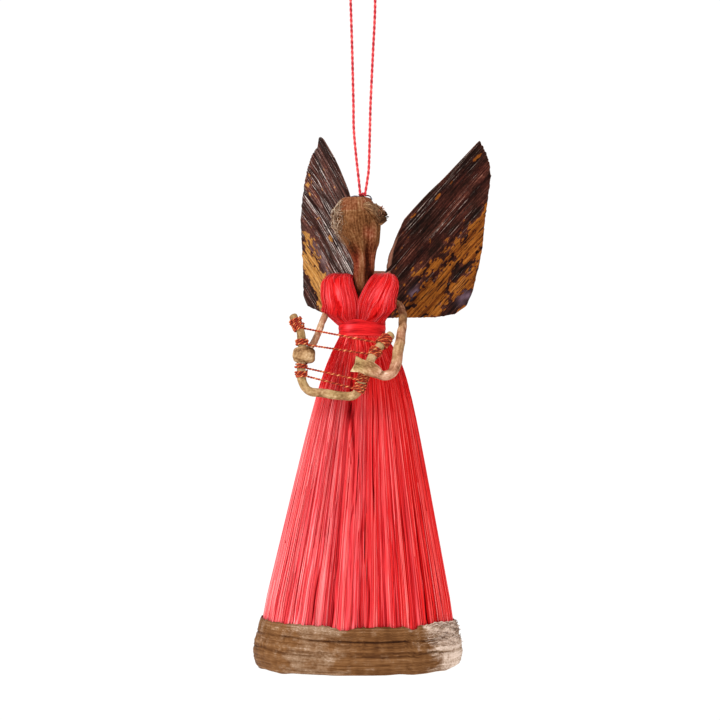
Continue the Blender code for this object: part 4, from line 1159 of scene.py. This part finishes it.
def wing(name, side, sweep, slope, edges, colours, seed, flesh, **patches):
    """A blade of rings along its veins: each goes up the front of a vein and down its back.

    A point is u times the blade's reach plus its bow times its facing, at its rise. The blade is bowed by
    1.8 mm, and its veins are raised by up to 0.1 mm. flesh is where the skin is off, as a function of u
    and rise. patches are lists of (u, rise, length, width, strength), each a bump that adds to where the
    blade is bare, red or dusty, or bright with silvery lines along the veins, which are painted highlights.
    """
    sweep, slope = math.radians(sweep), math.radians(slope)
    veins, first, last, run = vein_spans(edges, slope, WING_VEINS)
    share = np.linspace(0, 1, WING_STEPS)[None, :]
    rag = 0.35 * (uneven(veins * 2.6, seed) - 0.5)
    along = (first - rag) + (last - first + 2 * rag) * share
    u = along * run[0] + veins * run[1]
    rise = along * run[1] - veins * run[0]
    span = (veins - veins.min()) / (veins.max() - veins.min())
    bow = WING_CURL * np.sin(math.pi * span) * ramp(u, 0, 12) * ramp(u, 36.5, -8)
    warp = 0.9 * (patchy(veins / 9, along / 16, seed + 1) - 0.5)
    rib = uneven(veins / 0.8, seed + 2)
    fine = uneven(veins / 0.34 + 0.8 * patchy(veins / 3, along / 12, seed + 3), seed + 4)
    torn = patchy(veins / 1.0, along / 1.9, seed + 5) - 0.5
    blotch = patchy(veins / 2.4, along / 4.0, seed + 7) - 0.5
    speck = patchy(veins / 0.5, along / 0.9, seed + 8) - 0.5
    zone = {"bare": flesh(u, rise), "bright": 0.1, "red": 0.24 + 0.7 * blotch + 0.6 * torn, "dusty": 0}
    for kind, spots in patches.items():
        for spot_u, spot_rise, length, width, strength in spots:
            spot_along = spot_u * run[0] + spot_rise * run[1]
            spot_vein = spot_u * run[1] - spot_rise * run[0]
            spot = bump(veins, spot_vein, width) * bump(along, spot_along, length)
            zone[kind] = zone[kind] + strength * spot
    zone["bare"] = zone["bare"] + 0.6 * torn + 0.6 * blotch + 0.9 * speck
    zone["dusty"] = zone["dusty"] * (1 + 2 * torn)
    relief = 0.14 * (rib - 0.5) + 0.09 * (fine - 0.5) - 0.09 * np.clip(3 * zone["bare"] - 1, 0, 1)
    edge = np.minimum(share, 1 - share) * (last - first)
    edge = np.clip(np.minimum(np.minimum(edge, veins - veins.min()), veins.max() - veins), 0, 1)
    half = WING_THICKNESS / 2 * (0.35 + 0.65 * np.sqrt(edge))
    reach = np.array([side * math.cos(sweep), math.sin(sweep), 0])
    facing = np.array([-side * math.sin(sweep), math.cos(sweep), 0])
    middle = u[..., None] * reach + (bow + warp * ramp(u, 0, 12))[..., None] * facing
    middle = middle + points_at(0, WING_ROOT_DEPTH, WAIST + rise)
    front = middle - (half + relief)[..., None] * facing
    back = middle + (half + 0.6 * relief)[..., None] * facing
    rings = np.concatenate([front, back[:, ::-1]], axis=1)
    inner_rim = bump(rise, 23.0, 6.0) * np.clip(1.6 - share * (last - first) / 1.9, 0, 1)
    zone["worn"] = np.maximum(0.6 - np.clip(2.4 * edge + 0.5 * torn, 0, 0.6), inner_rim)
    zone["tone"] = 0.36 + 0.34 * (rib - 0.5) + 0.28 * (fine - 0.5) + 0.22 * blotch + 0.12 * speck
    shades = {
        kind: np.clip(np.concatenate([values, values[:, ::-1]], axis=1), 0, 1)
        for kind, values in ((kind, values + 0 * rise) for kind, values in zone.items())
    }
    vein_way = run[0] * reach + (0, 0, run[1])
    cross_way = run[1] * reach - (0, 0, run[0])
    lie = mathutils.Matrix([vein_way, cross_way, np.cross(vein_way, cross_way)]).transposed().to_euler()
    piece = skin(name + "_blade", wing_sheath(lie=tuple(lie), **colours), rings, **shades)
    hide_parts(name)
    return piece


def wing_sheath(name, lie, skin_stops, red_stops, bare_stops, bright, dust, rim, contrast, roughness):
    """Dark leaf sheath with its skin on. The eye sees fine dark veins, broken silvery lines, reddish mottles,
    a pale worn rim, and dull ochre flesh with black flecks where the skin is off.

    lie turns the pattern to the veins, in millimetres along and across them. The veins are 0.3 mm apart,
    the silvery lines 0.2 mm wide, and the torn skin's edge is jagged by about a millimetre. The silvery
    lines are painted highlights: glints of light along the veins. Where the skin is worn thin, round the
    bare flesh, its red shows. The pale rim colour along the top of the wings' root is a painted highlight.
    """
    look = new_look(name)
    tone, bare, red, shine, dusty, worn = (
        node(look, "Attribute", attribute_name=kind)["Fac"]
        for kind in ("tone", "bare", "red", "bright", "dusty", "worn")
    )
    place = node(look, "TexCoord")
    turned = node(look, "Mapping", {
        "Vector": place["Object"], "Rotation": lie, "Scale": (0.001, 0.001, 0.001),
    }, vector_type="TEXTURE")
    pattern = {}
    # (kind, its size in millimetres along the veins, across them and through the sheath, and its detail)
    for kind, size, detail in (
        ("vein", (11.0, 0.32, 3.0), 3.0), ("jag", (1.5, 0.55, 3.0), 4.0), ("fleck", (4.0, 0.26, 3.0), 3.0),
        ("speck", (0.7, 0.34, 3.0), 3.0), ("streak", (18.0, 0.19, 3.0), 2.0),
    ):
        sized = node(look, "Mapping", {"Vector": turned["Vector"], "Scale": [1 / length for length in size]})
        noise = {"Vector": sized["Vector"], "Scale": 1.0, "Detail": detail, "Roughness": 0.6}
        pattern[kind] = node(look, "TexNoise", noise)["Fac"]
    # the tone of the veins, for all the colours
    veined = node(look, "MapRange", {"Value": pattern["vein"], "To Min": -contrast, "To Max": contrast})
    lined = node(look, "Math", {0: tone, 1: veined["Result"]})
    mixed = node(look, "Math", {0: pattern["speck"], 1: 0.9, 2: lined["Value"]}, operation="MULTIPLY_ADD")
    shade = node(look, "Math", {0: mixed["Value"], 1: 0.45}, operation="SUBTRACT")
    dark = node(look, "ValToRGB", {"Fac": shade["Value"]}, stops=skin_stops)
    ruddy = node(look, "ValToRGB", {"Fac": shade["Value"]}, stops=red_stops)
    # painted highlights: silvery glints along the veins, broken by the jagged pattern
    broken = node(look, "MapRange", {
        "Value": pattern["jag"], "From Min": 0.34, "From Max": 0.58, "To Max": 0.9,
    })
    many = node(look, "Math", {0: shine, 1: 0.15, 2: pattern["streak"]}, operation="MULTIPLY_ADD")
    line = node(look, "MapRange", {"Value": many["Value"], "From Min": 0.67, "From Max": 0.74})
    glint = node(look, "Math", {0: broken["Result"], 1: line["Result"]}, operation="MULTIPLY")
    # flesh, which is duller than the skin and has burnt flecks
    calm = node(look, "MapRange", {"Value": shade["Value"], "To Min": 0.28, "To Max": 0.72})
    flesh = node(look, "ValToRGB", {"Fac": calm["Result"]}, stops=bare_stops)
    burnt = node(look, "MapRange", {"Value": pattern["fleck"], "From Min": 0.53, "From Max": 0.63})
    flecked = node(look, "Mix", {
        "Factor": burnt["Result"], 6: flesh["Color"], 7: dark["Color"],
    }, data_type="RGBA")
    # where the skin is off, with a ragged edge, and where it is worn thin beside that
    ragged = node(look, "MapRange", {"Value": pattern["jag"], "To Min": -0.6, "To Max": 0.6})
    off = node(look, "Math", {0: bare, 1: ragged["Result"]})
    where = node(look, "MapRange", {"Value": off["Value"], "From Min": 0.44, "From Max": 0.50})
    thin = node(look, "MapRange", {
        "Value": off["Value"], "From Min": 0.16, "From Max": 0.40, "To Max": 0.85,
    })
    edge = node(look, "MapRange", {"Value": worn, "From Min": 0.3, "From Max": 0.9, "To Max": 0.85})
    # the layers from the dark skin up, each where its share says
    colour = dark["Color"]
    for share, layer in (
        (red, ruddy["Color"]), (dusty, linear(dust)), (glint["Value"], linear(bright)),
        (thin["Result"], ruddy["Color"]), (where["Result"], flecked[2]), (edge["Result"], linear(rim)),
    ):
        colour = node(look, "Mix", {"Factor": share, 6: colour, 7: layer}, data_type="RGBA")[2]
    dull = node(look, "MapRange", {"Value": where["Result"], "To Min": roughness, "To Max": 0.7})
    raised = node(look, "Bump", {"Height": shade["Value"], "Strength": 0.4, "Distance": 0.0001})
    shader = node(look, "BsdfPrincipled", {
        "Base Color": colour, "Normal": raised["Normal"], "Roughness": dull["Result"],
        "Specular IOR Level": 0.03,
    })
    node(look, "OutputMaterial", {"Surface": shader["BSDF"]})
    return look


left_wing = wing(
    "wing_left", 1, LEFT_SWEEP, LEFT_SLOPE, WING_LEFT_EDGES, dict(
        name="dark leaf sheath", skin_stops=LEFT_SKIN, red_stops=LEFT_RED, bare_stops=LEFT_FLESH,
        bright="#b09c90", dust="#5a4650", rim="#9a6854", contrast=0.75, roughness=0.5,
    ),
    110,
    lambda u, rise: np.clip(0.44 + (0.743 * u - 0.669 * rise - 2.4) / 8, -0.3, 0.80),
    bare=[
        (32.1, 51.3, 1.6, 0.6, 1.3), (24.6, 44.2, 1.0, 0.35, 1.1), (20.4, 40.1, 1.3, 0.45, 1.3),
        (13.2, 34.5, 1.6, 0.5, 1.0), (27.6, 18.4, 4.0, 1.5, -1.0), (28.5, 11.3, 2.6, 1.7, -1.5),
        (23.4, 6.9, 3.0, 1.4, -1.5), (20.1, 17.8, 2.0, 1.1, -0.9), (13.6, 13.7, 2.0, 1.4, -0.9),
        (18.0, 10.3, 6.0, 3.0, 0.3), (32.4, 29.1, 5.0, 1.6, 0.5), (14.0, 21.0, 8.0, 5.0, 0.32),
    ],
    bright=[
        (22.0, 44.0, 16.0, 2.2, 0.45), (14.0, 33.0, 9.0, 2.2, 0.3), (20.0, 30.0, 12.0, 2.0, 0.3),
        (26.0, 38.0, 10.0, 1.5, 0.3),
    ],
    red=[(28.5, 39.1, 9.0, 4.0, 0.4), (14.4, 23.2, 5.0, 3.5, 0.5), (20.0, 17.0, 5.0, 3.0, 0.4)],
    dusty=[(13.8, 12.8, 2.0, 1.2, 0.8), (28.3, 11.1, 2.2, 1.6, 0.8)],
)
# where the two wings are joined behind the waist
root_place = np.linspace(ROOT_FROM, ROOT_TO, ROOT_STEPS)[:, None]
turn = ring_turns(ROOT_SIDES)[None, :]
root_x = np.where(root_place > 0, root_place * math.cos(math.radians(LEFT_SWEEP)), root_place)
root_y = WING_ROOT_DEPTH + 0.5 * np.maximum(root_place, 0) - 0.55 * np.cos(turn) * np.abs(np.cos(turn))
root_top = ROOT_TOP + 0.25 * (uneven(root_place / 1.3, 128) - 0.5)
root_half = 2.6 + 3.6 * ramp(root_place, 3.0, -1.5)
root_rise = root_top - root_half + root_half * np.sin(turn) * (1 - 0.1 * np.cos(turn) ** 2)
# the pale rim colour along the top of the joint is a painted highlight where the light falls on it
root = skin(
    "wing_left_root",
    left_wing.data.materials[0],
    points_at(root_x, root_y, WAIST + root_rise),
    tone=0.45 + 0.3 * (uneven(root_rise / 0.5, 129) - 0.5),
    worn=np.clip(1.6 * np.sin(turn) - 0.6, 0, 1),
)
wing(
    "wing_right", -1, RIGHT_SWEEP, RIGHT_SLOPE, WING_RIGHT_EDGES, dict(
        name="leaf sheath with painted sheen", skin_stops=RIGHT_SKIN_AND_SHEEN, red_stops=RIGHT_RED, bare_stops=RIGHT_FLESH,
        bright="#decec6", dust="#8a6a6c", rim="#6d4a3d", contrast=0.8, roughness=0.45,
    ),
    130,
    lambda u, rise: 0.77 * bump(0.883 * u - 0.469 * rise, 17.8, 5.0) * ramp(rise, 33, -8) - 0.15,
    bare=[
        (32.2, 12.1, 5.0, 2.6, -1.6), (26.7, 11.4, 6.0, 1.6, 0.6), (33.8, 30.6, 2.4, 0.9, 1.2),
        (22.4, 28.9, 1.6, 0.6, 1.2), (24.4, 48.6, 2.0, 0.6, 0.8), (29.4, 25.6, 3.0, 1.2, 0.4),
        (31.5, 20.5, 5.0, 2.0, 0.5),
    ],
    bright=[
        (20.3, 25.3, 15.0, 5.0, 0.5), (15.0, 20.7, 9.0, 3.5, 0.4), (31.1, 39.0, 14.0, 2.0, 0.3),
        (26.0, 45.0, 18.0, 12.0, 0.45),
    ],
    red=[(25.7, 49.0, 7.0, 3.0, 0.3), (23.0, 21.0, 2.0, 0.8, 0.9), (31.0, 22.0, 5.0, 2.0, 0.5)],
    dusty=[(27.0, 23.5, 3.0, 1.2, 0.4), (30.5, 27.0, 2.0, 1.0, 0.4), (24.0, 19.0, 3.0, 1.0, 0.3)],
)


# Lyre: one wire bent to a bow with a tall horn and a short one, and wrapped from end to end in a strip
# of pale fibre.

LYRE_RADIUS = 1.2
LYRE_STEPS = 260
STRIP_PITCH = 4.2
# (x, y, rise above the waist)
LYRE_ROUTE = [
    (-15.5, -16.1, 5.8), (-14.4, -16.3, 3.6), (-13.0, -16.7, 0.9), (-12.4, -17.2, -1.9),
    (-12.2, -17.8, -5.2), (-12.3, -18.4, -8.7), (-12.0, -18.7, -12.0), (-11.1, -18.7, -14.2),
    (-9.5, -18.5, -15.4), (-5.8, -17.6, -15.9), (-1.0, -16.4, -16.6), (1.7, -15.8, -16.5),
    (3.3, -15.5, -14.8), (4.4, -15.6, -11.7), (5.8, -15.2, -8.2), (7.0, -13.6, -5.2),
    (8.6, -10.9, -2.3), (10.6, -7.7, 0.4),
]
LYRE_FACING = (0.25, -1.0, 0.1)
OLIVE_STRIP = [(0.0, "#3a240e"), (0.3, "#6b4e2d"), (0.55, "#8f734a"), (0.8, "#ac9066"), (1.0, "#d3bf98")]
PINK_STRIP = [(0.0, "#3f1c0d"), (0.3, "#734731"), (0.55, "#986a4f"), (0.8, "#b78d73"), (1.0, "#e2c5b0")]


def wrapped_limb(line, radius, pitch, seed, reference, sides=48):
    """A wire wrapped in a flat strip: each turn of the strip climbs by pitch and overlaps the one below.

    The strip's place is the way along over the pitch, less the turn round. The radius rises by a
    twentieth over each strip and drops at its edge, and long folds, lumps and a fine grain follow it.
    Returns the rings, their tone and where they are pinkish.
    """
    way = travelled(line)[:, None]
    turn = ring_turns(sides)[None, :]
    wind = way / pitch - turn / (2 * math.pi) + 0.9 * (uneven(way / 3.1, seed) - 0.5)
    lip = wind % 1
    fold = patchy(steps_round(turn, 5) + 3 * wind, wind * 0.9, seed + 1, 61) - 0.5
    lump = patchy_round(turn, 3, way / 1.8, seed + 2) - 0.5
    grain = patchy_round(turn, 11, way / 1.1, seed + 3) - 0.5
    clear = uneven(way / 2.3 + turn / 5, seed + 4)
    groove = clear * (bump(lip, 0.0, 0.08) + bump(lip, 1.0, 0.08))
    swell = np.broadcast_to(np.asarray(radius, float), (len(line),))[:, None]
    bulk = swell * (0.97 + 0.05 * clear * lip + 0.09 * fold + 0.16 * lump + 0.06 * grain)
    # the tone is darker in the groove at each strip's edge: painted shade
    tone = 0.54 + 0.10 * clear * lip + 0.30 * fold + 0.20 * lump + 0.25 * grain - 0.30 * groove
    pink = 0.35 + 0.9 * (patchy_round(turn, 3, way / 3.7, seed + 5) - 0.5)
    return tube(line, bulk - 0.06 * groove, reference, sides), np.clip(tone, 0, 1), np.clip(pink, 0, 1)


def rounded_ends(line, radius, share):
    """The radius along a line, brought in over a share of it at both ends as a quarter round."""
    near = np.linspace(0, 1, len(line))
    near = np.clip(np.minimum(near, 1 - near) / share, 0.02, 1)
    return radius * np.sqrt(1 - (1 - near) ** 2)


frame_line = smooth_line(np.array(LYRE_ROUTE) + (0, 0, WAIST))
lyre_line = spaced(frame_line, LYRE_STEPS)
lyre_radius = rounded_ends(lyre_line, LYRE_RADIUS, share=0.012)
rings, tone, pink = wrapped_limb(lyre_line, lyre_radius, STRIP_PITCH, 141, LYRE_FACING)
lyre = skin(
    "lyre_frame_wrap",
    plant_fibre("pale fibre strip of the lyre", OLIVE_STRIP, PINK_STRIP, 0.55, (14.0, 60.0), 0.05, 0.4, 0.25),
    rings,
    tone=tone,
    second=0.6 * pink,
)
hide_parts("lyre_frame")


# Strings: four lengths of red and gold thread. Each is wound round one side of the lyre, drawn across,
# and wound round the other side.

THREAD_PLY = 0.165
THREAD_APART = 0.85
THREAD_TWIST = 1.5
THREAD_STEP = 0.15
THREAD_REFERENCE = (0.31, -0.93, 0.2)
PLY_TONES = (0.14, 0.54)
COIL_RADIUS = 1.5
COIL_PITCH = 0.62
COIL_STEPS, DRAWN_STEPS = 22, 40
FRAME_STEPS = 400
THREAD_COLOURS = [(0.0, "#6b150c"), (0.35, "#aa361c"), (0.6, "#c35d31"), (1.0, "#e4ab70")]
# name, (share of the frame's length, height, how loosely it is wound) on her right and on her left
STRINGS = [
    ("lyre_string_1", (0.057, 3.5, 0.8), (0.937, 3.6, 0.3)),
    ("lyre_string_2", (0.150, 1.6, 0.4), (0.852, 2.4, 0.3)),
    ("lyre_string_3", (0.265, 1.4, 0.4), (0.722, 2.8, 0.2)),
    ("lyre_string_4", (0.305, 1.7, 0.4), (0.668, 2.7, 0.2)),
]


even_frame = spaced(frame_line, FRAME_STEPS)


def frame_place(share):
    """The step of the lyre's frame that is nearest to a share of its length."""
    return round(share * (FRAME_STEPS - 1))


def coil(share, height, slack, toward, finishes_at):
    """A close coil round the frame that ends on the side facing a point: centre + radius (cos, sin)."""
    length = travelled(even_frame)[-1]
    turns = max(2, round(height / COIL_PITCH))
    steps = np.linspace(0, 1, COIL_STEPS * turns)
    start, end = share - height / 2 / length, share + height / 2 / length
    if finishes_at == "start":
        start, end = end, start
    place = (start + (end - start) * steps) * (FRAME_STEPS - 1)
    centre, side, up = (
        np.stack([np.interp(place, np.arange(FRAME_STEPS), values) for values in way.T], axis=1)
        for way in (even_frame, *crossways(even_frame, LYRE_FACING))
    )
    away = toward - centre[-1]
    final = math.atan2(away @ up[-1], away @ side[-1])
    turn = (final + 2 * math.pi * turns * (steps - 1))[:, None]
    loose = (COIL_RADIUS + slack * (uneven(steps * turns * 1.7, round(share * 1000)) - 0.4))[:, None]
    return centre + loose * (side * np.cos(turn) + up * np.sin(turn))


thread_look = twisted_thread("red and gold thread", THREAD_COLOURS)
for name, (right_share, right_height, right_slack), (left_share, left_height, left_slack) in STRINGS:
    right_middle, left_middle = even_frame[frame_place(right_share)], even_frame[frame_place(left_share)]
    right_coil = coil(right_share, right_height, right_slack, left_middle, "end")
    left_coil = coil(left_share, left_height, left_slack, right_middle, "start")[::-1]
    across = np.linspace(0, 1, DRAWN_STEPS)[1:-1, None]
    drawn = right_coil[-1] + (left_coil[0] - right_coil[-1]) * across
    thread_line = np.vstack([right_coil, drawn, left_coil])
    thread_line = spaced(thread_line, int(travelled(thread_line)[-1] / THREAD_STEP))
    thread_way = travelled(thread_line)[None, :, None]
    plies, open_side = two_ply(
        thread_line, THREAD_REFERENCE, THREAD_PLY, THREAD_APART, THREAD_TWIST, sides=6,
    )
    own_tone = np.array(PLY_TONES)[:, None, None] + 0.5 * (uneven(thread_way / 0.8, 151) - 0.5)
    # the tone is darker in the groove between the two plies: painted shade
    string = skin(name + "_thread", thread_look, plies, tone=own_tone + (open_side - 0.85))
    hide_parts(name)


# Arms: wire wrapped in the same pale fibre, from the shoulders to the lyre. The right one ends in a
# strip wound round the frame as a hand, and the left one in a flattened strip with a square cut end.

ARM_RADIUS = 1.0
ARM_STEPS = 180
ARM_PITCH = 6.5
HAND_PITCH = 3.3
HAND_HALF_HEIGHT = 2.1
HAND_END, HAND_BELLY = 1.4, 1.25
HAND_STEPS, PALM_STEPS, HAND_SIDES = 80, 90, 96
ARM_RIGHT = [
    (-2.8, 0.2, 8.8), (-5.2, -0.3, 8.8), (-7.6, -1.1, 8.3), (-9.4, -2.1, 6.9), (-9.9, -4.3, 4.9),
    (-10.0, -8.5, 1.5), (-10.3, -12.6, -1.8), (-11.4, -16.0, -4.4),
]
ARM_LEFT = [
    (2.8, 1.2, 8.9), (5.7, 2.2, 9.3), (8.0, 2.3, 9.4), (10.2, 1.7, 8.6), (11.9, -0.9, 6.3),
    (12.9, -4.8, 2.9), (13.3, -8.9, -1.3), (13.3, -11.8, -5.2), (13.3, -13.4, -7.9),
    (12.4, -14.9, -10.2), (10.5, -16.2, -11.1), (8.3, -17.4, -10.2), (5.9, -18.1, -8.6),
]
LEFT_SWELL = [1.0, 1.0, 1.1, 1.25, 1.3, 1.5, 1.5, 1.3, 1.2]
RIGHT_HAND_SHARE = 0.212
LEFT_HAND_TIP = [(9.2, -17.2, -10.7), (7.9, -17.9, -9.8), (5.5, -18.3, -8.6), (2.7, -18.4, -7.8)]
# half the flattened end's width and depth, by the share of the way to its tip
PALM_WIDTHS = [(0, 1.4), (0.2, 1.8), (0.4, 2.1), (0.7, 1.85), (1, 2.2)]
PALM_DEPTHS = [(0, 1.3), (0.3, 1.35), (1, 0.9)]
ARM_REFERENCE = (0.0, 0.65, -0.75)
ELBOW_LIGHT = 0.24

arm_look = plant_fibre(
    "pale fibre strip of the arms", OLIVE_STRIP, PINK_STRIP, 0.55, (26.0, 7.0), 0.05, 0.5, 0.25,
)
# the right arm is lighter and pinker than the left, partly a painted light and reflection from the light on
# her right, and the left arm is darker
for name, route, swell, seed, lighter, pinker, elbow_light in (
    ("arm_right", ARM_RIGHT, [1.0, 1.0], 161, 0.16, 0.6, 0.0),
    ("arm_left", ARM_LEFT, LEFT_SWELL, 171, -0.16, 0.35, ELBOW_LIGHT),
):
    arm_line = spaced(smooth_line(np.array(route) + (0, 0, WAIST)), ARM_STEPS)
    way = np.linspace(0, 1, ARM_STEPS)
    radius = ARM_RADIUS * np.interp(way, np.linspace(0, 1, len(swell)), swell)
    radius = radius * rounded_ends(arm_line, 1.0, 0.02)
    rings, tone, pink = wrapped_limb(arm_line, radius, ARM_PITCH, seed, ARM_REFERENCE)
    elbow = bump(way, 0.86, 0.08)[:, None] * (elbow_light > 0)
    tone = tone + lighter + elbow_light * elbow
    pink = pink + pinker + 0.6 * elbow
    limb = skin(name + "_wrap", arm_look, rings, tone=np.clip(tone, 0, 1), second=np.clip(pink, 0, 1))
    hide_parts(name)

# the right hand: a barrel of strip round the tall side of the lyre
hand_place = frame_place(RIGHT_HAND_SHARE)
hand_middle = even_frame[hand_place]
hand_run = even_frame[hand_place + 3] - even_frame[hand_place - 3]
hand_run /= np.linalg.norm(hand_run)
hand_line = hand_middle + np.linspace(-HAND_HALF_HEIGHT, HAND_HALF_HEIGHT, HAND_STEPS)[:, None] * hand_run
barrel = HAND_END + HAND_BELLY * np.sqrt(np.clip(1 - np.linspace(-1, 1, HAND_STEPS) ** 4, 0, 1))
rings, tone, pink = wrapped_limb(hand_line, barrel, HAND_PITCH, 181, LYRE_FACING, HAND_SIDES)
rings[..., 0] += 0.7 + 0.16 * (rings[..., 0] - hand_middle[0])
hand_tone = np.clip(1.6 * tone - 0.40, 0, 1)
hand_right = skin("arm_right_hand_wrap", arm_look, rings, tone=hand_tone, second=0.7 * pink)

# the left hand: the strip's flattened end, folded over the short side of the lyre
palm_line = spaced(smooth_line(np.array(LEFT_HAND_TIP) + (0, 0, WAIST)), PALM_STEPS)
share = np.linspace(0, 1, PALM_STEPS)[:, None]
turn = ring_turns(HAND_SIDES)[None, :]
side, up = crossways(palm_line, (0.2, -1.0, 0.1))
square = (np.abs(np.cos(turn)) ** 4 + np.abs(np.sin(turn)) ** 4) ** -0.25
folds = patchy_round(turn, 7, share * 3.2, 191) - 0.5
pleat = patchy_round(turn, 13, share * 1.6, 192) - 0.5
wide = np.interp(share, *np.array(PALM_WIDTHS).T)
deep = np.interp(share, *np.array(PALM_DEPTHS).T)
across = (wide + 0.5 * folds + 0.25 * pleat) * square * np.cos(turn)
proud = (deep + 0.5 * folds + 0.4 * pleat) * square * np.sin(turn)
corner = (np.abs(np.cos(turn)) ** 3 - 0.6 + 0.5 * pleat) * np.clip(3 * share - 2, 0, 1)
rings = palm_line[:, None] + across[..., None] * side[:, None] + proud[..., None] * up[:, None]
rings = rings + corner[..., None] * (palm_line[-1] - palm_line[-4]) / 0.3
hand_left = skin(
    "arm_left_hand_wrap",
    arm_look,
    rings,
    tone=np.clip(0.66 + 0.6 * folds + 0.6 * pleat, 0, 1),
    second=np.clip(0.9 - 1.1 * share + 0.5 * folds, 0, 1),
)
